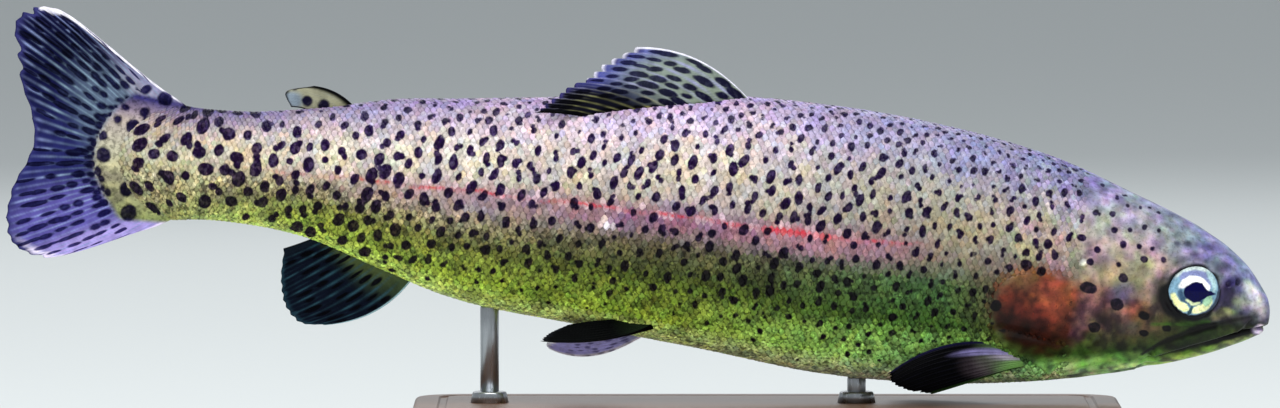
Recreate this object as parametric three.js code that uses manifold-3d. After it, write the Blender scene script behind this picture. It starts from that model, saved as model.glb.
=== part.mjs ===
// A rainbow trout at life size, swimming with its nose a little down, on a plain display stand.
//
// Millimetres, +Z up. The origin is the middle of the stand's underside, the head points along +X,
// and the fish's right side faces -Y. The fish is drawn in a frame of its own: u is the distance
// behind the snout (so x = -u), y is to its left, and z is the height above a line through the snout.
// One group then turns the whole fish nose down and lifts it over the stand.

import * as THREE from 'three';
import { mergeVertices } from 'three/addons/utils/BufferGeometryUtils.js';
import Module from 'manifold-3d';

const wasm = await Module();
wasm.setup();

// ---------------------------------------------------------------------------------------------
// Driving dimensions

const PITCH = THREE.MathUtils.degToRad(7);   // nose down
const GAP = 0.3;                             // left between two pieces that touch
const ROOT_DEPTH = 3;                        // how far a fin starts under the skin

const BODY = {
  length: 317,         // snout to the end of the flesh on the tail fin
  rings: 50,
  sides: 24,
  squareness: 2.2,     // 2 is an ellipse, more is boxier
  tailScallop: 12,     // how far the flesh stops short at the two corners of the tail
  scallopFrom: 284,
};

// Body stations: distance behind the snout, height of the back, height of the belly, half width,
// and taper (above 0 the back is narrower than the belly, below 0 the throat is the narrower).
const STATIONS = [
  [0, -1.5, -1.5, 0, -0.1],
  [1, 3.1, -6.2, 3.6, -0.1],
  [3, 6.1, -7.6, 5.6, -0.1],
  [8, 11.8, -10.3, 8.2, -0.12],
  [20, 19.4, -15.6, 11.9, -0.14],
  [40, 26.9, -21.6, 15.0, -0.14],
  [65, 34.5, -27.2, 17.4, -0.06],
  [90, 38.5, -30.4, 18.9, 0.02],
  [120, 40.4, -31.2, 19.7, 0.05],
  [150, 39.7, -28.7, 19.2, 0.05],
  [185, 35.3, -26.2, 16.8, 0.05],
  [222, 30.2, -22.5, 13.2, 0.04],
  [240, 27.8, -17.4, 10.9, 0.02],
  [260, 23.0, -11.8, 8.6, 0],
  [280, 19.6, -10.3, 6.5, 0],
  [300, 19.2, -11.6, 4.3, 0],
  [317, 20.6, -12.4, 1.4, 0],
];

// Outlines on the side of the body, as [u, z] points.
const GILL_OPENING = [[64, 3.6], [70.5, 1.6], [74.6, -3.4], [75.2, -9], [73.6, -14.2], [70, -17.8],
  [63, -20.6], [57, -24]];
const CHEEK_EDGE = [[54, -19.5], [49.6, -16.8], [47.6, -9], [48.6, -2], [53, 3]];
const MAXILLA_UPPER = [[5.2, -2.4], [9, -3.6], [14.5, -5.6], [21, -8.3], [27, -11.6], [31, -15.4]];
const MAXILLA_LOWER = [[30.2, -16.6], [22.5, -13.4], [14.5, -9.9], [8, -6.6]];
const GAPE = [[0, -4.3], [8, -6.9], [16, -10.3], [24, -13.6], [31, -17]];
const JAW_HEEL = [[35, -20.5], [39, -27]];

const NAPE_U = 64;                // where head and trunk meet on the back
const VENT_U = 229;               // where trunk and tail stalk meet
const COVER = { proud: 0.4, thick: 2.0 };
const LIP = { proud: 0.5, thick: 1.2 };
const EYE = { u: 21, z: 2.8, radius: 7.7, depth: 3.1, sunk: 1.7, turn: THREE.MathUtils.degToRad(14) };

const STAND = {
  length: 190, width: 84, height: 12, corner: 14, edge: 1.6,
  rodRadius: 2.5, rodSink: 4, rodStations: [108, 208],
};
const SNOUT = { x: 135, z: STAND.height + 24.6 };   // where the snout ends up, over the stand

// Fin rays, from the leading edge to the last. Each is [base, bend, tip], each of them [u, y, z].
const DORSAL_RAYS = [
  [[143.5, -1.5, 37.2], [158.5, -4, 52.4], [177.3, -6.4, 49.8]],
  [[152, -5, 35.2], [168, -7, 47], [184.6, -8, 45.2]],
  [[160, -5.8, 33.8], [174, -8.4, 42.4], [189.4, -9.4, 40.4]],
  [[168, -6.2, 32.2], [181, -9.4, 38], [194.9, -10.4, 36.6]],
  [[176, -6.4, 30.6], [188, -10, 33.8], [199.2, -11.2, 32.6]],
  [[183, -6.4, 29], [192, -10.4, 30.4], [202.2, -11.8, 29.2]],
];
const ADIPOSE_RAYS = [
  [[250, 0, 24], [255, 0, 28.8], [262, 0, 28.7]],
  [[254, 0, 22.4], [261.5, 0, 27.2], [269.3, 0, 26]],
  [[258.5, 0, 20.2], [262.5, 0, 22.8], [267.4, 0, 22.3]],
];
const ANAL_RAYS = [
  [[229.5, 0, -19.6], [236.5, 0, -32], [251.3, 0, -34.7]],
  [[235.5, 0, -16.8], [245, 0, -28.4], [258.6, 0, -34.8]],
  [[241.5, 0, -14], [250.5, 0, -22.4], [262.9, 0, -30.4]],
  [[247.5, 0, -11.6], [255.5, 0, -17.4], [264.6, 0, -24]],
  [[253.5, 0, -9.6], [258.5, 0, -12.8], [264.8, 0, -15.6]],
];
const CAUDAL_RAYS = [
  [[291, 0, 16.4], [299, 0, 22.2], [307.6, 0, 24.6]],
  [[300, 0, 15], [317, 0, 30.8], [333.5, 0, 41]],
  [[305, 0, 12.6], [323, 0, 27], [342.8, 0, 38]],
  [[309, 0, 8.6], [326, 0, 17.2], [341.2, 0, 23.6]],
  [[311, 0, 4.2], [324, 0, 5], [334.8, 0, 5.6]],
  [[309, 0, -0.6], [324, 0, -4.6], [339.4, 0, -10]],
  [[305, 0, -4.6], [321, 0, -13.4], [338.4, 0, -21.6]],
  [[300, 0, -7], [313, 0, -19.6], [329.5, 0, -26]],
  [[291, 0, -8], [297, 0, -13.4], [304, 0, -15.9]],
];
const PECTORAL_RAYS = [
  [[62.5, -9.6, -18.6], [84, -17, -12.4], [100.4, -20.5, -28.3]],
  [[63, -9.2, -19.6], [84.5, -19, -19.4], [99, -20.8, -30.4]],
  [[63.5, -8.8, -20.6], [80.5, -18.2, -25.6], [94.5, -19.8, -32]],
  [[64, -8.2, -21.6], [76, -16.4, -27.4], [88, -17.8, -32.3]],
];
const PELVIC_RIGHT_RAYS = [
  [[161.5, -9.5, -22.5], [176, -12.5, -30.4], [193.5, -13.5, -32]],
  [[163.5, -7.6, -23], [177, -9.5, -28.8], [192, -10.2, -30.2]],
  [[165.5, -5.8, -23.4], [178, -6.8, -27.6], [189.6, -7, -28.6]],
  [[167.5, -4, -23.6], [178, -4.4, -27], [185.5, -4.2, -27.7]],
];
const PELVIC_LEFT_RAYS = [
  [[161.5, 9, -22.5], [177, 12.5, -37], [191.4, 12.4, -33.6]],
  [[163.5, 7.4, -23], [178, 9.6, -33.6], [191.8, 9.4, -33]],
  [[165.5, 5.6, -23.4], [178, 6.8, -30.4], [190.6, 6.8, -31.2]],
  [[167.5, 4, -23.6], [178, 4.4, -28], [186, 4.2, -28.8]],
];

// ---------------------------------------------------------------------------------------------
// Materials

const finish = (color, roughness, metalness = 0) =>
  new THREE.MeshStandardMaterial({ color, roughness, metalness });

const FLESH = finish(0xa59a8c, 0.42);
const HEAD = finish(0x8f8a80, 0.4);
const CHEEK = finish(0x9a4a34, 0.4);
const FIN = finish(0x3a4256, 0.5);
const DARK_FIN = finish(0x15191c, 0.5);
const EYE_SILVER = finish(0xb9c2b2, 0.15);
const WOOD = finish(0x6a4a33, 0.5);
const STEEL = finish(0xb8babc, 0.3, 1);

// ---------------------------------------------------------------------------------------------
// Solids: closed geometries to manifolds and back

function solid(geometry) {
  const bare = geometry.clone();
  bare.deleteAttribute('normal');
  bare.deleteAttribute('uv');
  const merged = mergeVertices(bare, 1e-4);
  const index = merged.getIndex().array;
  const kept = [];
  for (let i = 0; i < index.length; i += 3) {
    const [a, b, c] = [index[i], index[i + 1], index[i + 2]];
    if (a !== b && b !== c && c !== a) kept.push(a, b, c);
  }
  return new wasm.Manifold(new wasm.Mesh({
    numProp: 3,
    vertProperties: Float32Array.from(merged.getAttribute('position').array),
    triVerts: Uint32Array.from(kept),
  }));
}

// The geometry of a manifold's largest body, without the crumbs that a cut can leave.
function geometryOf(manifold) {
  const bodies = manifold.decompose();
  const largest = bodies.reduce((best, body) => (body.volume() > best.volume() ? body : best));
  const mesh = largest.getMesh();
  const geometry = new THREE.BufferGeometry();
  geometry.setAttribute('position', new THREE.BufferAttribute(mesh.vertProperties, 3));
  geometry.setIndex(new THREE.BufferAttribute(mesh.triVerts, 1));
  const faceted = geometry.toNonIndexed();
  faceted.computeVertexNormals();
  return faceted;
}

function meshOf(name, manifold, material) {
  const mesh = new THREE.Mesh(geometryOf(manifold), material);
  mesh.name = name;
  return mesh;
}

// The same shape on the other side of the fish, with its faces still pointing out.
function otherSide(geometry) {
  const mirrored = geometry.clone().scale(1, -1, 1);
  const position = mirrored.getAttribute('position');
  const index = mirrored.getIndex() ?? { count: position.count, getX: (i) => i };
  const flipped = [];
  for (let i = 0; i < index.count; i += 3) {
    flipped.push(index.getX(i), index.getX(i + 2), index.getX(i + 1));
  }
  mirrored.setIndex(flipped);
  return mirrored;
}

// ---------------------------------------------------------------------------------------------
// The body

const COLUMN = { back: 1, belly: 2, half: 3, taper: 4 };

// A smooth curve through one column of the stations. It runs on the square root of the distance,
// which makes the snout round.
function along(u, column) {
  const place = (i) => Math.sqrt(STATIONS[i][0]);
  const value = (i) => STATIONS[i][column];
  const last = STATIONS.length - 1;
  const r = Math.sqrt(THREE.MathUtils.clamp(u, 0, BODY.length));
  let i = 0;
  while (i < last - 1 && r > place(i + 1)) i += 1;
  const secant = (k) => (value(k + 1) - value(k)) / (place(k + 1) - place(k));
  const slope = (k) => {
    if (k === 0) return secant(0);
    if (k === last) return secant(last - 1);
    const before = place(k) - place(k - 1);
    const after = place(k + 1) - place(k);
    return (secant(k - 1) * after + secant(k) * before) / (before + after);
  };
  const step = place(i + 1) - place(i);
  const t = (r - place(i)) / step;
  return value(i) * (1 + 2 * t) * (1 - t) ** 2 + step * slope(i) * t * (1 - t) ** 2
    + value(i + 1) * t * t * (3 - 2 * t) + step * slope(i + 1) * t * t * (t - 1);
}

// Half width of the body at a station and height.
function sideAt(u, z) {
  const middle = (along(u, COLUMN.back) + along(u, COLUMN.belly)) / 2;
  const reach = (along(u, COLUMN.back) - along(u, COLUMN.belly)) / 2;
  const t = THREE.MathUtils.clamp((z - middle) / reach, -1, 1);
  const round = (1 - Math.abs(t) ** BODY.squareness) ** (1 / BODY.squareness);
  return along(u, COLUMN.half) * round * (1 - along(u, COLUMN.taper) * t);
}

// The whole body as one closed skin, grown (or shrunk) by an offset.
function bodyGeometry(offset = 0) {
  const geometry = new THREE.PlaneGeometry(1, 1, BODY.rings, BODY.sides);
  const position = geometry.getAttribute('position');
  for (let i = 0; i < position.count; i += 1) {
    const run = position.getX(i) + 0.5;
    const angle = 2 * Math.PI * (0.5 - position.getY(i));
    const u = BODY.length * (1 - Math.cos(Math.PI * run)) / 2;
    const power = 2 / BODY.squareness;
    const t = Math.sign(Math.cos(angle)) * Math.abs(Math.cos(angle)) ** power;
    const w = Math.sign(Math.sin(angle)) * Math.abs(Math.sin(angle)) ** power;
    const atTail = THREE.MathUtils.smoothstep(u, BODY.scallopFrom, BODY.length);
    const atEnds = Math.min(1, Math.sqrt(u / 3));
    const middle = (along(u, COLUMN.back) + along(u, COLUMN.belly)) / 2;
    const reach = (along(u, COLUMN.back) - along(u, COLUMN.belly)) / 2 + offset * atEnds;
    const half = Math.max(along(u, COLUMN.half) + offset * atEnds, 0.02);
    const isEnd = run === 0 || run === 1;
    position.setXYZ(i,
      -(u - BODY.tailScallop * t * t * atTail + offset * (2 * run - 1)),
      isEnd || Math.abs(w) < 1e-6 ? 0 : half * w * (1 - along(u, COLUMN.taper) * t),
      run === 0 ? middle : middle + reach * t);
  }
  return geometry;
}

// ---------------------------------------------------------------------------------------------
// Cutting tools: an outline on the side of the fish, run across it

const smoothLine = (points, steps) => new THREE.SplineCurve(points.map(([u, z]) =>
  new THREE.Vector2(-u, z))).getPoints(steps).map((point) => [-point.x, point.y]);

// The outline moved outward by a margin, its corners kept sharp.
function widened(outline, margin) {
  const points = outline.map(([u, z]) => new THREE.Vector2(u, z));
  const turn = Math.sign(THREE.ShapeUtils.area(points));
  return points.map((point, i) => {
    const before = points[(i + points.length - 1) % points.length];
    const after = points[(i + 1) % points.length];
    const arriving = point.clone().sub(before).normalize();
    const leaving = after.clone().sub(point).normalize();
    const out = new THREE.Vector2(arriving.y + leaving.y, -arriving.x - leaving.x).normalize();
    const corner = Math.max(out.x * arriving.y - out.y * arriving.x, 0.3);
    return [point.x + turn * margin * out.x / corner, point.y + turn * margin * out.y / corner];
  });
}

// A prism of the outline from y = near to y = far.
function prism(outline, near, far) {
  const shape = new THREE.Shape(outline.map(([u, z]) => new THREE.Vector2(-u, z)));
  const geometry = new THREE.ExtrudeGeometry(shape, { depth: far - near, bevelEnabled: false });
  geometry.rotateX(Math.PI / 2).translate(0, far, 0);
  return solid(geometry);
}

const ACROSS = [-40, 40];
const RIGHT_HALF = [-40, -1];

// ---------------------------------------------------------------------------------------------
// Fins

// The point of a fin at s (first ray to last) and t (root to tip).
function finPoint(rays, s, t) {
  const [base, bend, tip] = [0, 1, 2].map((k) => new THREE.CatmullRomCurve3(
    rays.map((ray) => new THREE.Vector3(-ray[k][0], ray[k][1], ray[k][2]))).getPoint(s));
  return base.multiplyScalar((1 - t) ** 2).addScaledVector(bend, 2 * t * (1 - t))
    .addScaledVector(tip, t * t);
}

// A closed blade through the rays, thicker at its root than at its edge.
function finGeometry(rays, { root, edge, columns, rows }) {
  const geometry = new THREE.BoxGeometry(1, 1, 1, columns, rows, 1);
  const position = geometry.getAttribute('position');
  const nudge = 0.004;
  for (let i = 0; i < position.count; i += 1) {
    const s = position.getX(i) + 0.5;
    const t = position.getY(i) + 0.5;
    const side = 2 * position.getZ(i);
    const low = [Math.max(s - nudge, 0), Math.max(t - nudge, 0)];
    const high = [Math.min(s + nudge, 1), Math.min(t + nudge, 1)];
    const acrossRays = finPoint(rays, high[0], t).sub(finPoint(rays, low[0], t));
    const alongRay = finPoint(rays, s, high[1]).sub(finPoint(rays, s, low[1]));
    const normal = acrossRays.cross(alongRay).normalize();
    const half = THREE.MathUtils.lerp(root, edge, t ** 0.7) / 2;
    const point = finPoint(rays, s, t).addScaledVector(normal, side * half);
    position.setXYZ(i, point.x, point.y, point.z);
  }
  return geometry;
}

// ---------------------------------------------------------------------------------------------
// The pieces of the fish, in its own frame

const body = solid(bodyGeometry());
const bodyClear = solid(bodyGeometry(GAP));

function headRegion() {
  const rear = smoothLine(GILL_OPENING, 16);
  return [[-6, 60], [NAPE_U, 60], ...rear, [50, -45], [-6, -45]];
}

function jawRegion() {
  const heel = smoothLine(JAW_HEEL, 3);
  return [...smoothLine(GAPE, 6), ...heel, [30, -40], [-6, -40], [-6, -3]];
}

function coverRegion() {
  const rear = smoothLine(GILL_OPENING, 16).filter(([, z]) => z > -20.2);
  return [...rear, ...smoothLine(CHEEK_EDGE, 8)];
}

function maxillaRegion() {
  return [...smoothLine(MAXILLA_UPPER, 8), ...smoothLine(MAXILLA_LOWER, 5)];
}

// A plate that lies on the side of the head, following its curve.
function plate(region, { proud, thick }) {
  const shell = solid(bodyGeometry(proud)).subtract(solid(bodyGeometry(proud - thick)));
  return shell.intersect(prism(region, ...RIGHT_HALF));
}

// The room that a plate needs, on both sides of the head.
function plateRooms(region, { proud, thick }) {
  const bed = solid(bodyGeometry(proud - thick - GAP));
  const wide = widened(region, GAP);
  return prism(wide, ...RIGHT_HALF).add(prism(wide, 1, 40)).subtract(bed);
}

function eyeGeometry(side, margin = 0) {
  const geometry = new THREE.SphereGeometry(1, 20, 10);
  geometry.rotateX(Math.PI / 2);
  geometry.scale(EYE.radius + margin, EYE.depth + margin, EYE.radius + margin);
  geometry.rotateZ(side * -EYE.turn);
  return geometry.translate(-EYE.u, side * (sideAt(EYE.u, EYE.z) - EYE.sunk), EYE.z);
}

function headPieces() {
  const rooms = plateRooms(coverRegion(), COVER).add(plateRooms(maxillaRegion(), LIP));
  const sockets = solid(eyeGeometry(1, GAP)).add(solid(eyeGeometry(-1, GAP)));
  const whole = body.intersect(prism(headRegion(), ...ACROSS)).subtract(sockets).subtract(rooms);
  const cover = geometryOf(plate(coverRegion(), COVER));
  const maxilla = geometryOf(plate(maxillaRegion(), LIP));
  return [
    meshOf('head', whole.subtract(prism(widened(jawRegion(), GAP), ...ACROSS)), HEAD),
    meshOf('lower_jaw', body.intersect(prism(jawRegion(), ...ACROSS)).subtract(rooms), HEAD),
    meshOf('gill_cover_right', solid(cover), CHEEK),
    meshOf('gill_cover_left', solid(otherSide(cover)), CHEEK),
    meshOf('maxilla_right', solid(maxilla), HEAD),
    meshOf('maxilla_left', solid(otherSide(maxilla)), HEAD),
    meshOf('eye_right', solid(eyeGeometry(-1)), EYE_SILVER),
    meshOf('eye_left', solid(eyeGeometry(1)), EYE_SILVER),
  ];
}

function bodyPieces() {
  const behindHead = body.subtract(prism(widened(headRegion(), GAP), ...ACROSS));
  const tailRegion = [[VENT_U, 60], [VENT_U, -60], [BODY.length + 9, -60], [BODY.length + 9, 60]];
  return [
    meshOf('trunk', behindHead.subtract(prism(widened(tailRegion, GAP), ...ACROSS)), FLESH),
    meshOf('tail_stalk', body.intersect(prism(tailRegion, ...ACROSS)), FLESH),
  ];
}

function finPieces() {
  const coverRoom = plateRooms(coverRegion(), COVER);
  const fin = (name, rays, sizes, material) => meshOf(name,
    solid(finGeometry(rays, sizes)).subtract(bodyClear).subtract(coverRoom), material);
  const mirror = (rays) => rays.map((ray) => ray.map(([u, y, z]) => [u, -y, z]));
  const broad = { root: 1.5, edge: 0.6, columns: 11, rows: 6 };
  const small = { root: 1.4, edge: 0.6, columns: 7, rows: 5 };
  return [
    fin('dorsal_fin', DORSAL_RAYS, broad, FIN),
    fin('adipose_fin', ADIPOSE_RAYS, { root: 2.2, edge: 0.8, columns: 5, rows: 5 }, FIN),
    fin('caudal_fin', CAUDAL_RAYS, { root: 1.9, edge: 0.6, columns: 24, rows: 6 }, FIN),
    fin('anal_fin', ANAL_RAYS, broad, DARK_FIN),
    fin('pectoral_fin_right', PECTORAL_RAYS, small, DARK_FIN),
    fin('pectoral_fin_left', mirror(PECTORAL_RAYS), small, DARK_FIN),
    fin('pelvic_fin_right', PELVIC_RIGHT_RAYS, small, DARK_FIN),
    fin('pelvic_fin_left', PELVIC_LEFT_RAYS, small, DARK_FIN),
  ];
}

// ---------------------------------------------------------------------------------------------
// The stand, in the object's frame

function basePlate() {
  const { length, width, height, corner, edge } = STAND;
  const [x, y] = [length / 2 - edge, width / 2 - edge];
  const shape = new THREE.Shape();
  shape.moveTo(-x + corner, -y);
  shape.absarc(x - corner, -y + corner, corner, -Math.PI / 2, 0);
  shape.absarc(x - corner, y - corner, corner, 0, Math.PI / 2);
  shape.absarc(-x + corner, y - corner, corner, Math.PI / 2, Math.PI);
  shape.absarc(-x + corner, -y + corner, corner, Math.PI, 1.5 * Math.PI);
  return new THREE.ExtrudeGeometry(shape, {
    depth: height - 2 * edge, bevelThickness: edge, bevelSize: edge, bevelSegments: 2,
    curveSegments: 6,
  }).translate(0, 0, edge);
}

// A round rod from its hole in the base plate up to the belly.
function rodGeometry(x, radius, bottom, top) {
  return new THREE.CylinderGeometry(radius, radius, top - bottom, 16)
    .rotateX(Math.PI / 2).translate(x, 0, (top + bottom) / 2);
}

function standPieces(pose) {
  const { height, rodRadius, rodSink, rodStations } = STAND;
  const names = ['stand_rod_front', 'stand_rod_rear'];
  const clearOfFish = solid(bodyGeometry(GAP).applyMatrix4(pose));
  let base = solid(basePlate());
  const rods = rodStations.map((u, i) => {
    const belly = new THREE.Vector3(-u, 0, along(u, COLUMN.belly)).applyMatrix4(pose);
    const hole = rodGeometry(belly.x, rodRadius + GAP, height - rodSink - GAP, height + 9);
    base = base.subtract(solid(hole));
    const rod = rodGeometry(belly.x, rodRadius, height - rodSink, belly.z + 2);
    return meshOf(names[i], solid(rod).subtract(clearOfFish), STEEL);
  });
  return [meshOf('stand_base', base, WOOD), ...rods];
}

// ---------------------------------------------------------------------------------------------
// The whole model

const fish = new THREE.Group();
fish.add(...headPieces(), ...bodyPieces(), ...finPieces());
fish.rotation.y = PITCH;
fish.position.set(SNOUT.x, 0, SNOUT.z);
fish.updateMatrix();

const trout = new THREE.Group();
trout.add(fish, ...standPieces(fish.matrix));

export default trout;
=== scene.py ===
"""Dresses a life-size rainbow trout, on its display stand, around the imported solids.

The fish is drawn in a frame of its own, in millimetres: u is the distance behind the snout, y is
to its left and z is the height above a line through the snout. Pose turns that frame into the
object's, in metres. One skin covers head, jaw, gill covers, trunk and tail stalk; small scales lie
over it behind the gill opening, and every fin is a blade with its own rays.
"""

from __future__ import annotations

import logging
import math
from collections.abc import Sequence
from dataclasses import dataclass, field
from enum import Enum, IntEnum
from itertools import product

import bmesh
import bpy
import numpy as np
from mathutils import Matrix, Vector

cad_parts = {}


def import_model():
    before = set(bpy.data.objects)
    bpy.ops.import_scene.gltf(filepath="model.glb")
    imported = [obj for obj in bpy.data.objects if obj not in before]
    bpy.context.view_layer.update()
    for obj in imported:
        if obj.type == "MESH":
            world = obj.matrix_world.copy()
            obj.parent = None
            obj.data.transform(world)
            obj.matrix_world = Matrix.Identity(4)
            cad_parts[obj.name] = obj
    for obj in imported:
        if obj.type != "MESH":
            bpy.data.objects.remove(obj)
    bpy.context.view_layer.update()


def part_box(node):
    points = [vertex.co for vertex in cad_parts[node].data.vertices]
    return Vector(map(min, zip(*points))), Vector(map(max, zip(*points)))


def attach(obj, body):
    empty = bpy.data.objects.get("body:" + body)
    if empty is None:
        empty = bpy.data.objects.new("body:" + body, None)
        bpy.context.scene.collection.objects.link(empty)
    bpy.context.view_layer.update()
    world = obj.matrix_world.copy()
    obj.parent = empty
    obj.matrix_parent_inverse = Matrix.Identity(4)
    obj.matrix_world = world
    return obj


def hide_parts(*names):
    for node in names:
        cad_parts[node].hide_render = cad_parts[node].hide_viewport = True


Array = np.ndarray
Point2 = tuple[float, float]
Point3 = tuple[float, float, float]
Colour = tuple[float, float, float]
Mesh = bpy.types.Mesh
Material = bpy.types.Material
Socket = bpy.types.NodeSocket

LOG = logging.getLogger("trout")
MM = 0.001
BODY = "root"
BAKE_UV = "OFBake"
UV_LENGTH = 330.0  # millimetres of fish along one side of the bake's unwrap
SEAM = 2e-7  # metres between two vertices that are merged where a wrapped grid closes
SLIVER = 1e-8  # metres below which an edge of such a grid is dissolved
SIDES = ((-1, "right"), (1, "left"))  # which way y runs on each side


# -------------------- Small tools


def ease(low: float, high: float, value: Array) -> Array:
    """Runs smoothly from 0 at low to 1 at high, whichever of the two is the larger."""
    t = np.clip((value - low) / (high - low), 0.0, 1.0)
    return t * t * (3.0 - 2.0 * t)


def bell(distance: Array, reach: float) -> Array:
    """A soft bump that is 1 at no distance and fades over the reach."""
    return np.exp(-((distance / reach) ** 2))


def linear(colour: str) -> Colour:
    """Turns a screen colour such as "#8899aa" into the linear one that a shader takes."""
    parts = [int(colour[i : i + 2], 16) / 255 for i in (1, 3, 5)]
    return tuple(p / 12.92 if p <= 0.04045 else ((p + 0.055) / 1.055) ** 2.4 for p in parts)


def over(colour: Array, top: str | Array, share: Array) -> Array:
    """Lays a screen colour, or rows of linear ones, over others by a share for each place."""
    upper = np.array(linear(top)) if isinstance(top, str) else top
    return colour + (upper - colour) * share[:, None]


def blend(first: Array | float, second: Array | float, share: Array) -> Array:
    """Runs from the first value to the second."""
    return first + (second - first) * share


def turned(x: Array, y: Array, angle: float | Array) -> tuple[Array, Array]:
    """The same places in a frame that is turned by an angle in radians."""
    c, s = np.cos(angle), np.sin(angle)
    return x * c + y * s, y * c - x * s


def through(points: Sequence[Sequence[float]], share: Array) -> Array:
    """Follows a smooth curve through the points.

    Args:
        points: The places that the curve passes, evenly shared out along it.
        share: How far along to look, from 0 to 1.

    Returns:
        One place for each share.
    """
    row = np.asarray(points, dtype=float)
    padded = np.vstack([2 * row[0] - row[1], row, 2 * row[-1] - row[-2]])
    gaps = np.maximum(np.sum(np.diff(padded, axis=0) ** 2, axis=1) ** 0.25, 1e-4)
    place = np.clip(share, 0.0, 1.0) * (len(row) - 1)
    i = np.minimum(place.astype(int), len(row) - 2)
    t = (place - i)[:, None]
    p0, p1, p2, p3 = (padded[i + k] for k in range(4))
    d0, d1, d2 = (gaps[i + k][:, None] for k in range(3))
    start = ((p1 - p0) / d0 - (p2 - p0) / (d0 + d1) + (p2 - p1) / d1) * d1
    end = ((p2 - p1) / d1 - (p3 - p1) / (d1 + d2) + (p3 - p2) / d2) * d1
    return (
        p1
        + start * t
        + (3 * (p2 - p1) - 2 * start - end) * t**2
        + (2 * (p1 - p2) + start + end) * t**3
    )


def smooth_line(points: Sequence[Point2], steps: int = 40) -> Array:
    """The points of a smooth line through a few [u, z] places."""
    return through(points, np.linspace(0.0, 1.0, steps + 1))


def nearest_on(points: Array, line: Array) -> tuple[Array, Array]:
    """How far each [u, z] point is from an open line, and how far along the line (0 to 1).

    Args:
        points: Rows of [u, z].
        line: The line's points, in order.

    Returns:
        Two arrays, with a number for each point.
    """
    best, share = np.full(len(points), np.inf), np.zeros(len(points))
    for k, (a, b) in enumerate(zip(line[:-1], line[1:])):
        run = b - a
        t = np.clip((points - a) @ run / max(float(run @ run), 1e-9), 0.0, 1.0)
        away = np.sum((points - a - t[:, None] * run) ** 2, axis=1)
        share = np.where(away < best, (k + t) / (len(line) - 1), share)
        best = np.minimum(best, away)
    return np.sqrt(best), share


def distance_to(points: Array, line: Array) -> Array:
    """How far each [u, z] point is from an open line."""
    return nearest_on(points, line)[0]


def signed_distance(points: Array, outline: Array) -> Array:
    """How far each [u, z] point is from a closed outline, below 0 inside it.

    Args:
        points: Rows of [u, z].
        outline: The outline's corners, in order.

    Returns:
        One distance for each point.
    """
    closed = np.vstack([outline, outline[:1]])
    inside = np.zeros(len(points), dtype=bool)
    for (u0, z0), (u1, z1) in zip(closed[:-1], closed[1:]):
        if z0 == z1:
            continue
        spans = (z0 > points[:, 1]) != (z1 > points[:, 1])
        crossing = u0 + (points[:, 1] - z0) * (u1 - u0) / (z1 - z0)
        inside ^= spans & (points[:, 0] < crossing)
    distance = distance_to(points, closed)
    return np.where(inside, -distance, distance)


def oval(u: Array, z: Array, middle: Point2, half: Point2 = (1.0, 1.0)) -> Array:
    """How far out each place is in an oval: 0 in the middle and 1 on the edge."""
    return np.hypot((u - middle[0]) / half[0], (z - middle[1]) / half[1])


def wobble(u: Array, z: Array, scale: float = 1.0) -> Array:
    """An irregular wave over the body, from about -1 to 1, for edges that shouldn't be even."""
    a = np.sin(u * 0.9 / scale + 1.3 * np.sin(z * 0.6 / scale))
    b = np.sin(z * 1.3 / scale + 2.1 + 1.1 * np.sin(u * 0.47 / scale + 0.7))
    return 0.5 * (a + b)


def mottle(u: Array, z: Array, size: float, seed: int) -> Array:
    """Soft random blotches over the body, from 0 to 1, each about as wide as the size.

    Args:
        u: Places one way.
        z: Places the other way.
        size: How wide a blotch is.
        seed: What the blotches are drawn from.

    Returns:
        One number for each place.
    """
    table = np.random.default_rng(seed).uniform(0, 1, (64, 64))
    total = np.zeros(len(u))
    for turn, fine, weight in ((0.5, 1.0, 0.62), (1.4, 2.2, 0.38)):
        x, y = turned(u * fine / size, z * fine / size, turn)
        i, j = np.floor(x).astype(int), np.floor(y).astype(int)
        a, b = ease(0, 1, x - i), ease(0, 1, y - j)
        low = blend(table[i % 64, j % 64], table[(i + 1) % 64, j % 64], a)
        high = blend(table[i % 64, (j + 1) % 64], table[(i + 1) % 64, (j + 1) % 64], a)
        total += weight * blend(low, high, b)
    return total


# -------------------- Meshes


def write_attributes(mesh: Mesh, **named: Array) -> None:
    """Stores numbers, or linear colours, for each vertex of a mesh under their names."""
    for name, values in named.items():
        kind, key = ("FLOAT", "value") if values.ndim == 1 else ("FLOAT_COLOR", "color")
        if values.ndim == 2:
            values = np.column_stack([values, np.ones(len(values))])
        layer = mesh.attributes.new(name, kind, "POINT")
        layer.data.foreach_set(key, np.ascontiguousarray(values, dtype=np.float32).ravel())


def read_points(mesh: Mesh) -> Array:
    """The vertices of a mesh as an array."""
    values = np.empty(len(mesh.vertices) * 3, dtype=np.float32)
    mesh.vertices.foreach_get("co", values)
    return values.reshape(-1, 3).astype(float)


def write_points(mesh: Mesh, points: Array) -> None:
    """Moves the vertices of a mesh to new places."""
    mesh.vertices.foreach_set("co", np.ascontiguousarray(points, dtype=np.float32).ravel())
    mesh.update()


def to_mesh(shell: bmesh.types.BMesh, name: str) -> Mesh:
    """Turns a bmesh into a mesh of that name, and frees it."""
    mesh = bpy.data.meshes.new(name)
    shell.to_mesh(mesh)
    shell.free()
    return mesh


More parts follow.
